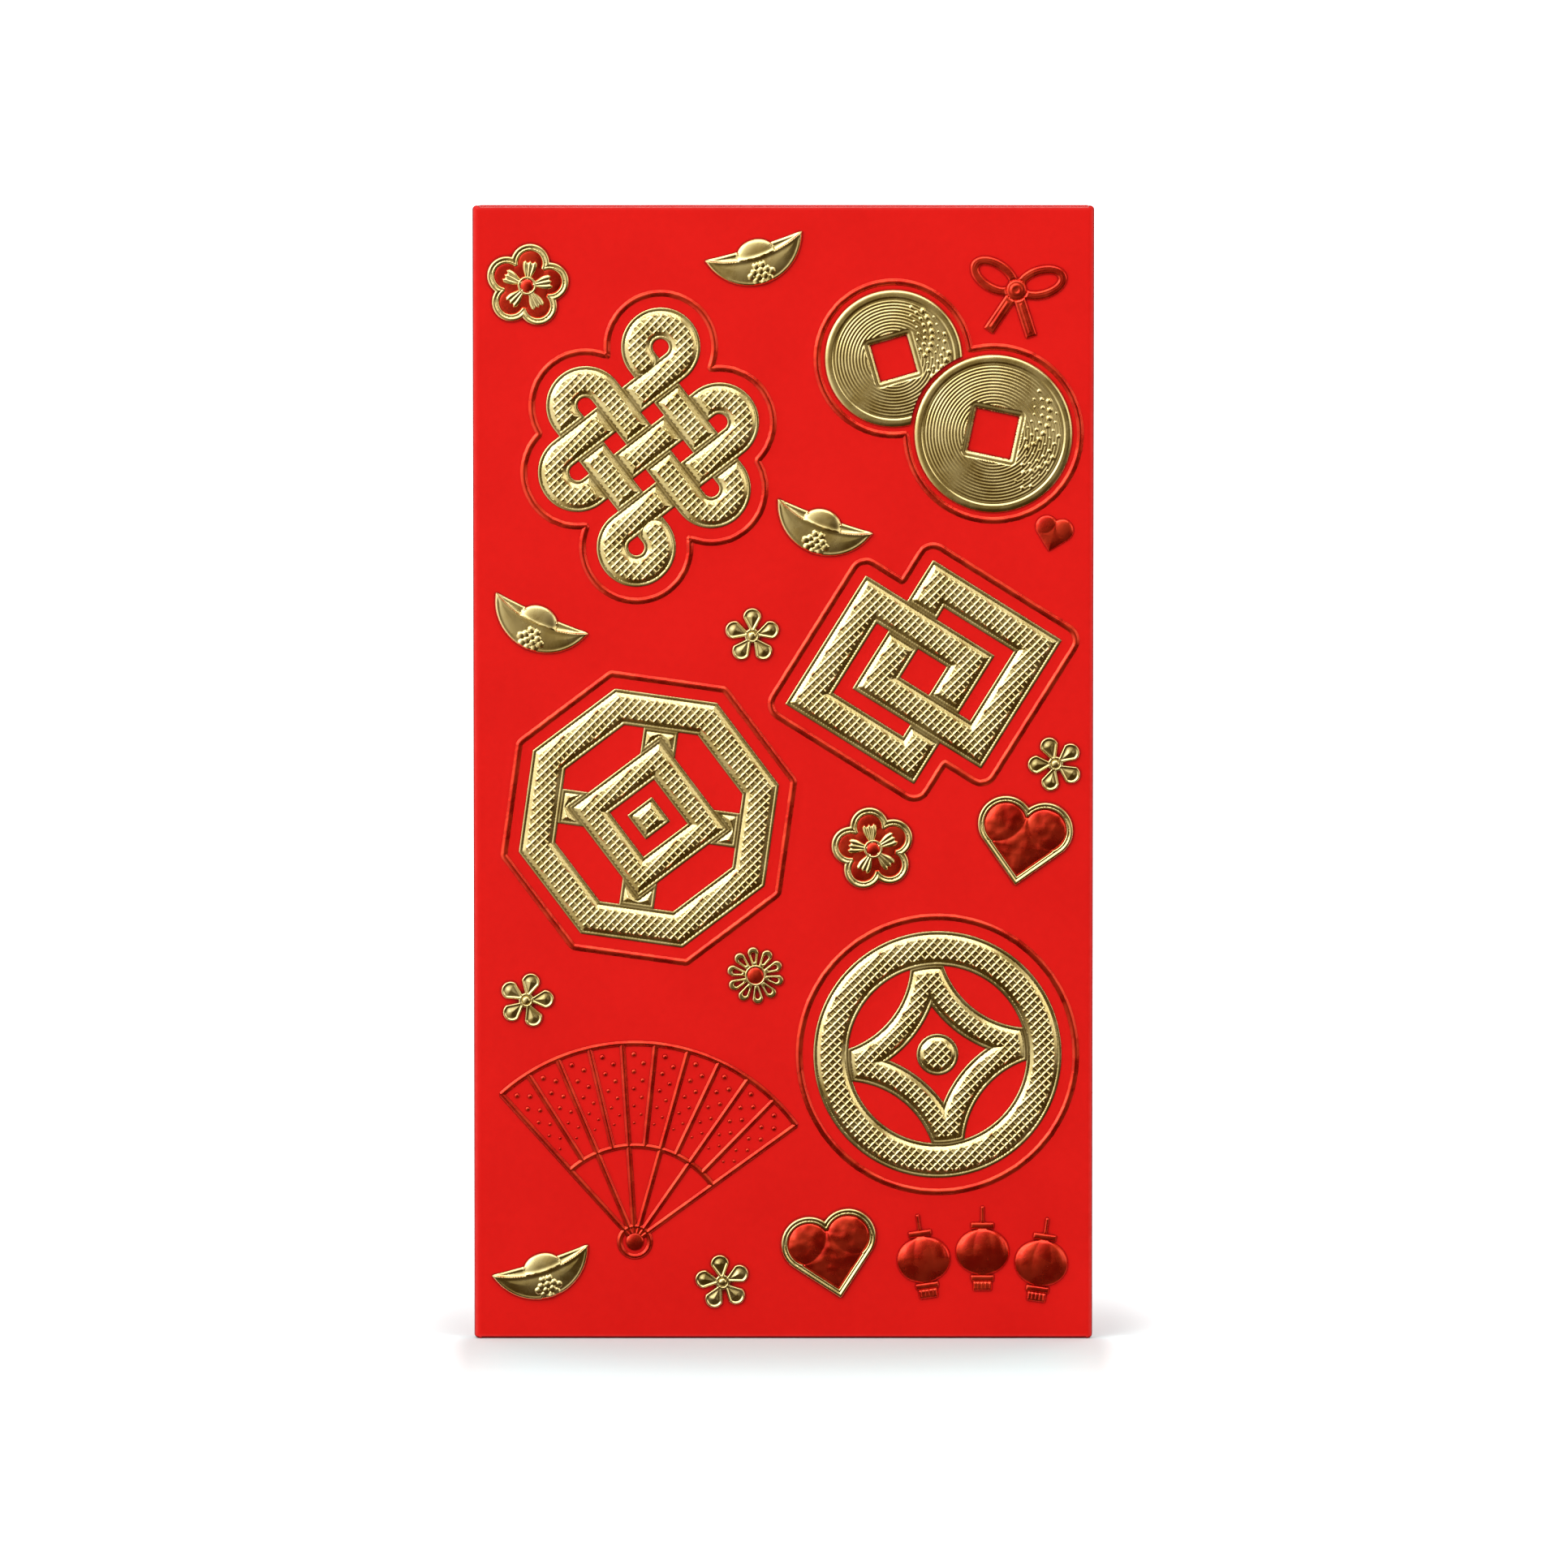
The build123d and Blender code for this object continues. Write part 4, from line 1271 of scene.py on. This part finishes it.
def ingot_height(p):
    """Height of an ingot: a rolled hull, a rib along its front rim, and a dome behind the rib."""
    behind = hung_arc(p, ingot_front_rim)
    edge = ingot_boat(p)
    in_dome = ingot_dome(p)
    hull = ingot_hull_wall + ingot_hull_swell * rounded(np.minimum(edge, -behind + 0.5), ingot_hull_round)
    hull += ingot_bead_height * most(rounded(spot(p, bead, ingot_bead), ingot_bead) for bead in ingot_beads)
    inside = ingot_floor + ingot_floor_swell * climb(edge, 0.25, 0.7)
    dome = ingot_floor + ingot_dome_swell * rounded(in_dome, ingot_dome_round)
    back = np.where(in_dome > 0, np.maximum(dome, inside), inside)
    raised = hull + (back - hull) * climb(behind, -0.08, 0.1)
    rib = ingot_rib_height * np.exp(-((behind / ingot_rib) ** 2)) * climb(edge + 0.2, 0.0, 0.3)
    trim = ingot_trim_height * np.exp(-(((edge - ingot_trim) / ingot_trim_width) ** 2)) * (in_dome < 0.2)
    return raised + np.maximum(rib, trim)


press("gold_ingots_pressed", "gold_foil", "gold_ingots",
      relief(ingot_depth, ingot_height, 7.9, 0.09), ingot_places, ingot_tilts)

# %% Hearts
heart_places = [on_face(s) for s in ((0.385, 0.436), (0.080, 0.070))]
heart_tilts = (-10.0, 12.0)
heart_side, heart_rim = 8.2, 1.0
heart_wall, heart_swell, heart_round = 0.1, 0.55, 3.2
small_heart_side, small_heart_swell, small_heart_round = 3.3, 0.4, 1.6
small_heart_place, small_heart_tilt = front_coin + 17.2 * turn(-60), -14.0
crumple_size, crumple_height = 1.3, 0.1


def double_rim(d, width):
    """Height of a rim with a broad outer ridge and a fine inner one, from its depth."""
    outer = rounded(np.minimum(d, 0.64 * width - d), 0.32 * width)
    inner = rounded(np.minimum(d - 0.56 * width, width - d), 0.2 * width)
    return 0.16 + np.maximum(0.36 * outer, 0.26 * inner)


def heart_depth(p, side, inset=0.0):
    """Depth in a heart: a square on its corner with a lobe on each upper side."""
    lobe = side / (2 * math.sqrt(2))
    square = slab(p * turn(45), side, side)
    lobes = [spot(p, complex(u, lobe), side / 2) for u in (-lobe, lobe)]
    return most([square] + lobes) - inset


def crumple(p):
    """Soft creases of the foil, from about -1 to 1."""
    return np.array([noise.noise((q.real / crumple_size, q.imag / crumple_size, 0.0)) for q in p])


def heart_rim_depth(p):
    """Depth in the gold rim of a heart."""
    return np.minimum(heart_depth(p, heart_side), -heart_depth(p, heart_side, heart_rim))


def heart_field(p):
    """Depth in the red field of a heart."""
    return heart_depth(p, heart_side, heart_rim)


def heart_field_height(p):
    """Height of a heart's field: a cushion of crumpled foil."""
    return heart_wall + heart_swell * rounded(heart_field(p), heart_round) + crumple_height * crumple(p)


def small_heart(p):
    """Depth in the small heart."""
    return heart_depth(p, small_heart_side)


def small_heart_height(p):
    """Height of the small heart."""
    return heart_wall + small_heart_swell * rounded(small_heart(p), small_heart_round)


def heart_rim_height(p):
    """Height of a heart's gold rim."""
    return double_rim(heart_depth(p, heart_side), heart_rim)


press("gold_heart_rims", "gold_foil", "heart_rims",
      relief(heart_rim_depth, heart_rim_height, 7.6, 0.08), heart_places, heart_tilts)
press("red_heart_fields", "red_foil", "heart_fields",
      relief(heart_field, heart_field_height, 7.6, 0.12), heart_places, heart_tilts)
press("red_small_heart", "red_foil", "small_heart",
      relief(small_heart, small_heart_height, 3.2, 0.09), [small_heart_place], [small_heart_tilt])

# %% Bow over the coins
bow_place = front_coin + 21.1 * turn(81)
bow_tilt = -8.0
bow_loop_length, bow_loop_width, bow_band = 7.6, 4.8, 1.3
bow_tail_length, bow_tail_width, bow_knot = 7.2, 1.7, 1.5
bow_loop_ways, bow_tail_ways = (24, 156), (-64, -116)
bow_wall, bow_swell, bow_round = 0.12, 0.3, 0.65
bow_crease_height, bow_crease_pitch = 0.05, 0.9
bow_knot_swell, bow_knot_round = 0.12, 1.2


def bow_parts(p):
    """Depths in the bow's loops, tails and knot."""
    half = bow_loop_length / 2
    loops = []
    for way in bow_loop_ways:
        q = p * turn(-way) - half
        inner = oval(q, bow_loop_length - 2 * bow_band, bow_loop_width - 2 * bow_band)
        loops.append(np.minimum(oval(q, bow_loop_length, bow_loop_width), -inner))
    tails = [
        slab(p * turn(-way) - bow_tail_length / 2, bow_tail_length, bow_tail_width)
        for way in bow_tail_ways
    ]
    return most(loops), most(tails), spot(p, 0, bow_knot)


def bow_height(p):
    """Height of the bow, its knot over its loops and its loops over its tails."""
    loops, tails, knot = bow_parts(p)
    d = laid_over(knot, laid_over(loops, tails))
    crease = bow_crease_height * np.cos(np.clip(d, 0, 2) * 2 * math.pi / bow_crease_pitch)
    band = bow_wall + bow_swell * rounded(np.maximum(d, 0), bow_round) + crease * climb(d, 0.3, 0.5)
    return band + bow_knot_swell * rounded(knot, bow_knot_round)


press("red_bow", "red_foil", "coin_bow",
      relief(lambda p: most(bow_parts(p)), bow_height, 9.5, 0.1), [bow_place], [bow_tilt])

# %% [markdown]
# ## Blossoms
# A blossom is one petal repeated round a centre, which is what Geometry Nodes does best: a circle
# of points, one petal on each, turned to point outwards. Small blossoms have spoon-shaped petals
# with a raised rim, the daisy has looped petals that let the red card show, and plum blossoms have
# ruffled petals on a red field inside a double gold rim. Only the petal's own shape differs.

# %% Tree for a ring of petals
petal_tree, ring_of = start_tree(
    "ring_of_petals",
    {"Places": "Geometry", "Petal": "Object", "Count": "Int", "Reach": "Float", "Finish": "Material"},
)
one = ring_of["Petal"].node("GeometryNodeObjectInfo", {}, {"Object": ring_of["Petal"]}, "Geometry")
circle = one.node(
    "GeometryNodeMeshCircle", {}, {"Vertices": ring_of["Count"], "Radius": ring_of["Reach"]})
index = one.node("GeometryNodeInputIndex")
share = index.math("DIVIDE", index, ring_of["Count"])
about = share.node("ShaderNodeCombineXYZ", {}, {"Z": share * (2 * math.pi)})
flower = circle.node("GeometryNodeInstanceOnPoints", {}, {
    "Points": circle, "Instance": one, "Rotation": about})
lean = one.node("GeometryNodeInputNamedAttribute", {"data_type": "FLOAT"}, {"Name": "turn"})
whole = lean.node("ShaderNodeCombineXYZ", {}, {"Z": lean + math.pi / 2})
flowers = flower.node("GeometryNodeInstanceOnPoints", {}, {
    "Points": ring_of["Places"], "Instance": flower, "Rotation": whole})
end_tree(petal_tree, flowers, ring_of["Finish"])


def teardrop(p, start, start_radius, end, end_radius):
    """Depth in a drop along X that widens from one round end to the other."""
    t = np.clip((p.real - start) / (end - start), 0, 1)
    return start_radius + (end_radius - start_radius) * t - np.abs(p - start - (end - start) * t)


def petal_rings(solid, count, reach, places, tilts):
    """Flat-drawn mesh with a ring of gold petals at every place."""
    model = make_piece("petal", *solid, (gold_foil,), smooth=foil_round_below)
    attributes = {"turn": [math.radians(t) for t in tilts]}
    mesh = run_tree(
        petal_tree, places, (), attributes,
        Petal=model, Count=count, Reach=reach * MM, Finish=gold_foil)
    bpy.data.objects.remove(model)
    return mesh


def dome_solid(radius, low, high, base=-sunk):
    """Round button."""
    return relief(
        lambda p: spot(p, 0, radius), lambda p: low + (high - low) * rounded(spot(p, 0, radius), radius),
        radius + 0.1, 0.09, base=base)


def collar_solid(radius, inner, low, high, base=-sunk):
    """Round disc with a raised ring round its edge."""
    def collar_height(p):
        ring = np.minimum(spot(p, 0, radius), -spot(p, 0, inner))
        return low + (high - low) * rounded(ring, (radius - inner) / 2)
    return relief(lambda p: spot(p, 0, radius), collar_height, radius + 0.1, 0.07, base=base)


print("petal tree:", len(petal_tree.nodes), "nodes")

# %% Small blossoms
blossom_places = [
    on_face(s) for s in ((-0.050, 0.622), (0.439, 0.509), (-0.415, 0.300), (-0.098, 0.050))]
blossom_tilts = (0.0, 20.0, -14.0, 9.0)


def spoon(p):
    """Depth in a blossom's spoon-shaped petal."""
    return teardrop(p, -1.25, 0.5, 0.4, 1.38)


def spoon_height(p):
    """Height of a spoon-shaped petal: a raised rim, a groove and a swollen middle."""
    d = spoon(p)
    return 0.12 + 0.36 * rounded(d, 0.26) - 0.16 * climb(d, 0.24, 0.5) + 0.2 * climb(d, 0.46, 1.4)


stamp(
    "gold_small_blossoms", "gold_foil", "small_blossoms",
    petal_rings(relief(spoon, spoon_height, 2.0, 0.07), 5, 2.3, blossom_places, blossom_tilts),
    set_out(collar_solid(1.1, 0.62, 0.3, 0.46), blossom_places, blossom_tilts, "gold_foil"),
    set_out(dome_solid(0.62, 0.3, 0.62, 0.1), blossom_places, blossom_tilts, "gold_foil"),
)

# %% Daisy
daisy_places, daisy_tilts, upright = [on_face((-0.045, 0.322))], [6.0], [0.0]


def looped_petal(p):
    """Depth in a daisy's petal, with the slit that shows the card."""
    slit = teardrop(p, -0.6, 0.12, 0.3, 0.3)
    return np.minimum(teardrop(p, -1.05, 0.4, 0.62, 0.83), -slit)


def looped_height(p):
    """Height of a looped petal."""
    return 0.12 + 0.34 * rounded(looped_petal(p), 0.26)


stamp(
    "gold_daisy", "gold_foil", "daisy_petals",
    petal_rings(relief(looped_petal, looped_height, 1.6, 0.06), 10, 2.75, daisy_places, daisy_tilts),
    set_out(collar_solid(1.6, 1.15, 0.2, 0.5), daisy_places, upright, "gold_foil"),
)
press("red_daisy_eye", "red_foil", "daisy_eye", dome_solid(1.2, 0.3, 0.62, 0.1), daisy_places, upright)

# %% Plum blossoms
plum_places = [on_face(s) for s in ((0.145, 0.434), (-0.412, 0.930))]
plum_tilts = (10.0, -8.0)
plum_lobe_radius, plum_lobe_pitch, plum_rim = 2.85, 3.3, 1.1


def plum_depth(p, inset=0.0):
    """Depth in a blossom of five round lobes about a filled middle."""
    lobes = [spot(p, plum_lobe_pitch * turn(90 + 72 * k), plum_lobe_radius - inset) for k in range(5)]
    return most([spot(p, 0, plum_lobe_pitch)] + lobes)


def plum_rim_depth(p):
    """Depth in the gold rim of a plum blossom."""
    return np.minimum(plum_depth(p), -plum_depth(p, plum_rim))


def ruffled_petal(p):
    """Depth in a plum blossom's petal: narrow at its foot, wide and scalloped at its tip."""
    half = 0.42 + 0.6 * climb(p.real, -1.2, 0.9)
    tip = 1.5 + 0.15 * np.cos(p.imag * 2 * math.pi / 0.7)
    return np.minimum(np.minimum(half - np.abs(p.imag), tip - p.real), p.real + 1.35)


def ruffled_height(p):
    """Height of a ruffled petal, with veins that spread towards its tip."""
    spread = 0.32 + 0.34 * climb(p.real, -1.2, 1.2)
    veins = 0.045 * np.cos(p.imag * 2 * math.pi / spread)
    return 0.28 + 0.24 * rounded(ruffled_petal(p), 0.4) + veins * climb(ruffled_petal(p), 0.05, 0.2)


def plum_rim_height(p):
    """Height of a plum blossom's gold rim."""
    return double_rim(np.minimum(plum_depth(p), plum_rim), plum_rim)


def plum_field(p):
    """Depth in the red field of a plum blossom."""
    return plum_depth(p, plum_rim)


def plum_field_height(p):
    """Height of a plum blossom's field."""
    return 0.1 + 0.12 * rounded(plum_field(p), 1.2)


press("gold_plum_rims", "gold_foil", "plum_rims",
      relief(plum_rim_depth, plum_rim_height, 6.4, 0.08), plum_places, plum_tilts)
press("red_plum_fields", "red_foil", "plum_fields",
      relief(plum_field, plum_field_height, 6.0, 0.12), plum_places, plum_tilts)
petal = relief(ruffled_petal, ruffled_height, 1.9, 0.06, base=0.1)
stamp(
    "gold_plum_petals", "gold_foil", "plum_petals",
    petal_rings(petal, 5, 2.0, plum_places, plum_tilts),
    set_out(collar_solid(1.4, 0.96, 0.3, 0.6, 0.1), plum_places, plum_tilts, "gold_foil"),
)
press("red_plum_eyes", "red_foil", "plum_eyes",
      dome_solid(1.0, 0.35, 0.72, 0.2), plum_places, plum_tilts)

# %% [markdown]
# ## A fan drawn in line
# At the lower left a folding fan is drawn with thin red foil lines: two arcs for the edges of the
# leaf, a line for each pleat, sticks down to a pivot, and rows of dots that shade the pleats. The
# lines use the pressed-line tree again, and the dots use the ornament tree with smaller sizes
# towards the middle of the leaf.

# %% Draw the fan
fan_place, fan_tilt = on_face((-0.240, 0.086)), -6.0
fan_outer, fan_inner, fan_handle, fan_pivot = 29.0, 14.0, 2.6, 1.3
fan_angle, fan_pleats, fan_line, fan_relief = 96.0, 10, 0.8, 0.3
fan_arc_steps, fan_pleat_points, fan_handle_points = 72, 6, 40
fan_dot_rows, fan_dot_pitch, fan_dot_margin, fan_dot_shrink = 9, 1.25, 1.6, 0.06
fan_start = 90 - fan_angle / 2 + fan_tilt

points, edges = [], []
for radius in (fan_inner, fan_outer):
    turns = [turn(fan_start + fan_angle * k / fan_arc_steps) for k in range(fan_arc_steps + 1)]
    add_line(points, edges, [fan_place + radius * way for way in turns])
for k in range(fan_pleats + 1):
    way = turn(fan_start + fan_angle * k / fan_pleats)
    runs = [(fan_inner, fan_outer)] + [(fan_pivot, fan_inner)] * (k % 2 == 0)
    for start, end in runs:
        add_line(points, edges, [fan_place + way * r for r in np.linspace(start, end, fan_pleat_points)])
handle = [
    fan_place + (fan_handle - fan_line / 2) * turn(360 / fan_handle_points * k)
    for k in range(fan_handle_points)
]
add_line(points, edges, handle, closed=True)

dot_places, dot_sizes = [], []
for k in range(fan_pleats):
    for row in range(fan_dot_rows):
        radius = fan_outer - fan_dot_margin - fan_dot_pitch * row
        way = fan_start + fan_angle * (k + 0.5 + 0.16 * (-1) ** row) / fan_pleats
        dot_places.append(fan_place + radius * turn(way))
        dot_sizes.append(1.0 - fan_dot_shrink * row)
stamp(
    "red_fan", "red_foil", "fan_lines",
    draw_lines(points, edges, fan_line, fan_relief),
    set_out(dome_solid(0.36, 0.1, 0.3), dot_places, [0.0] * len(dot_places), "red_foil", dot_sizes),
    set_out(dome_solid(fan_pivot, 0.1, 0.4), [fan_place], upright, "red_foil"),
)

# %% [markdown]
# ## The front panel
# Pressing the foil from behind also lifts the card a little round each ornament. The front panel is
# therefore a fine grid that swells softly towards every outline. Its bare inside is flat. At the
# front crease the spine's bead takes over, and the panel's inner edge slopes away there, so that the
# bead has room to turn.

# %% Make the front panel
grid_step = 0.5
swell_height = 0.09
swell_reach = 1.0
swell_fade_start, swell_fade_end = 0.1, 0.6
swell_room = 3
crease_gap = 0.03
crease_groove = 0.17
columns = round((right_x - left_x) / grid_step) + 1
front_top = crease_z - crease_gap
rows = round((front_top - front_low.z) / grid_step) + 1
x, z = np.meshgrid(np.linspace(left_x, right_x, columns), np.linspace(front_low.z, front_top, rows))
p = x + 1j * z
swell = np.zeros(p.shape)
for centre, reach, depth in swells:
    near = np.abs(p - centre) < reach * math.sqrt(2) + swell_room
    d = depth(p[near])
    rise = climb(d, -swell_reach, 0) * (1 - climb(d, swell_fade_start, swell_fade_end))
    swell[near] = np.maximum(swell[near], rise)
outer = np.column_stack([x.ravel(), (face_y - swell_height * swell).ravel(), z.ravel()])
number = np.arange(rows * columns).reshape(rows, columns)
squares = np.stack([number[:-1, :-1], number[:-1, 1:], number[1:, 1:], number[1:, :-1]], -1)
faces = squares.reshape(-1, 4).tolist()
picks = [0] * len(faces)
rim = np.concatenate([number[0, :-1], number[:-1, -1], number[-1, :0:-1], number[:0:-1, 0]])
inner = outer[rim] * [1, 0, 1] + [0, face_y + card, 0]
inner[:, 2] = np.minimum(inner[:, 2], front_top - crease_groove)
back = np.arange(len(rim)) + len(outer)
faces.append(back[::-1])
picks.append(1)
faces += np.column_stack([np.roll(rim, -1), rim, back, np.roll(back, -1)]).tolist()
picks += [2] * len(rim)
front_card = make_piece("card_front", np.vstack([outer, inner]), faces, card_finishes, picks, round_below)
dress(front_card, "pocket", "red_card", "front_panel")

# %% [markdown]
# ## Floor, flags and lamps
# The photograph has a white ground with only a soft shadow at the packet's foot. A large white floor
# gives both. Its glow lifts it to white for the eye without lighting the packet more; this glow is
# painted light, faint at the packet's foot and growing outwards, so that it also cuts the real
# shadow short. A painted faint cyan tint in front of the packet cancels the red light that the
# packet throws onto the floor. Gold foil looks like gold because it mirrors darkness as well as
# light, so glowing flags that grade from pale on the left to brown on the right stand in front of
# the packet, seen by reflections alone. A broad softbox on the upper left draws the bright edges,
# one on the right softens the dark sides, a small one near the top lights the upper half a little
# more, and one behind casts the soft shadow forwards.

# %% Lay the floor and set the sky
sky_strength = 0.4


def seen_share(wire):
    """1 for rays that show the background itself, 0 for the light that it sheds."""
    kinds = ("Is Camera Ray", "Is Glossy Ray", "Is Transmission Ray")
    camera_ray, glossy_ray, clear_ray = [wire.node("ShaderNodeLightPath", out=kind) for kind in kinds]
    return camera_ray.most(glossy_ray).most(clear_ray)


world = bpy.data.worlds.new("white_sky")
bpy.context.scene.world = world
world.use_nodes = True
sky = Wire(world.node_tree)
background = world.node_tree.nodes["Background"]
background.inputs["Color"].default_value = (1, 1, 1, 1)
connect(background, {"Strength": seen_share(sky) * (1 - sky_strength) + sky_strength})

floor_finish, shader, at = start_finish("white_floor")
connect(shader, {"Roughness": 0.9, "Specular IOR Level": 0.0})
overhang = abs(at.axis("X")) - half_width
beyond = overhang.most(0.0)
forward = at.axis("Y")
away = (beyond * beyond + forward * forward).root()
behind = forward.ramp(-0.001, 0.004)
# Painted light: the floor's glow is faint at the packet's foot and grows outwards, lifting the floor to
# white and cutting the real shadow short.
painted_floor_glow = away.ramp(0.0, 0.085, 0.0, 0.42) + away.ramp(0.1, 1.4, 0.0, 0.35)
painted_floor_glow = painted_floor_glow + (1 - behind) * beyond.ramp(0.0, 0.005, 0.0, 0.3)
painted_floor_glow = painted_floor_glow + behind * beyond.ramp(0.002, 0.014, 0.11, 0.35)
# Painted tint: the floor is faintly cyan in front of the packet, to cancel the red light that the packet
# throws onto it.
plain = behind.most(overhang.ramp(-0.01, 0.003))
connect(shader, {
    "Base Color": plain.tint((0.8, 0.96, 0.97, 1), (0.88, 0.92, 0.92, 1)),
    "Emission Color": seen_share(at) * painted_floor_glow,
    "Emission Strength": 1.0,
})
floor_half, floor_level = 30000.0, -0.02
floor_corners = [
    (x * floor_half, y * floor_half, floor_level) for x, y in ((-1, -1), (1, -1), (1, 1), (-1, 1))]
floor = make_piece("floor", floor_corners, [(0, 1, 2, 3)], (floor_finish,))
print("floor at", floor_level, "mm, under a sky of strength", sky_strength)

# %% Stand the flags and hang the lamps
flag_finish, shader, at = start_finish("graded_flag")
middle = Vector((0, 0, packet_height / 2 * MM))
way = at.node("ShaderNodeVectorMath", {"operation": "SUBTRACT"}, {0: at, 1: middle})
way = way.node("ShaderNodeVectorMath", {"operation": "NORMALIZE"}, {0: way})
rightward = way.axis("X")
upward = way.axis("Z")
shine = (upward * 0.75 - rightward * 0.9).ramp(-0.36, 0.64)
glow = rightward.ramp(0.35, 0.8, 0.0, 0.6) * upward.ramp(-0.3, 0.1)
shine = shine.most(glow)
dim = shine.ramp(0.0, 0.5).tint((0.05, 0.028, 0.006, 1), (0.36, 0.295, 0.18, 1))
connect(shader, {
    "Base Color": (0, 0, 0, 1),
    "Specular IOR Level": 0.0,
    "Emission Color": shine.ramp(0.5, 1.0).tint(dim, (0.95, 0.93, 0.88, 1)),
    "Emission Strength": 1.0,
})
side, near, deep, low, tall = 3500.0, -3, -4500.0, 0.3, 4500.0
flag_points = [
    (x, y, z) for z in (low, tall) for x, y in ((-side, near), (side, near), (side, deep), (-side, deep))]
flag_faces = [(0, 3, 2, 1), (4, 5, 6, 7), (0, 4, 7, 3), (1, 2, 6, 5), (3, 7, 6, 2)]
flags = make_piece("graded_flags", flag_points, flag_faces, (flag_finish,))
for kind in ("camera", "diffuse", "transmission", "volume_scatter", "shadow"):
    setattr(flags, f"visible_{kind}", False)


def softbox(name, place, width, height, radiance):
    """Area lamp that faces the packet, with its brightness given as the eye would see it."""
    data = bpy.data.lights.new(name, "AREA")
    data.shape = "RECTANGLE"
    data.size, data.size_y = width, height
    data.energy = 4 * width * height * radiance
    lamp = add_object(name, data)
    lamp.location = place
    lamp.rotation_euler = (middle - Vector(place)).to_track_quat("-Z", "Y").to_euler()
    lamp.visible_camera = False


softbox("key_softbox", (-1.25, -0.95, 0.92), 1.5, 1.3, 1.92)
softbox("top_softbox", (0.05, -0.45, 0.7), 0.8, 0.4, 1.5)
softbox("side_softbox", (1.5, -1.0, 0.5), 1.0, 1.2, 0.8)
softbox("back_softbox", (0.0, 0.45, 1.3), 1.0, 0.5, 2.0)
print("stage set:", floor.name, flags.name, "and four lamps")
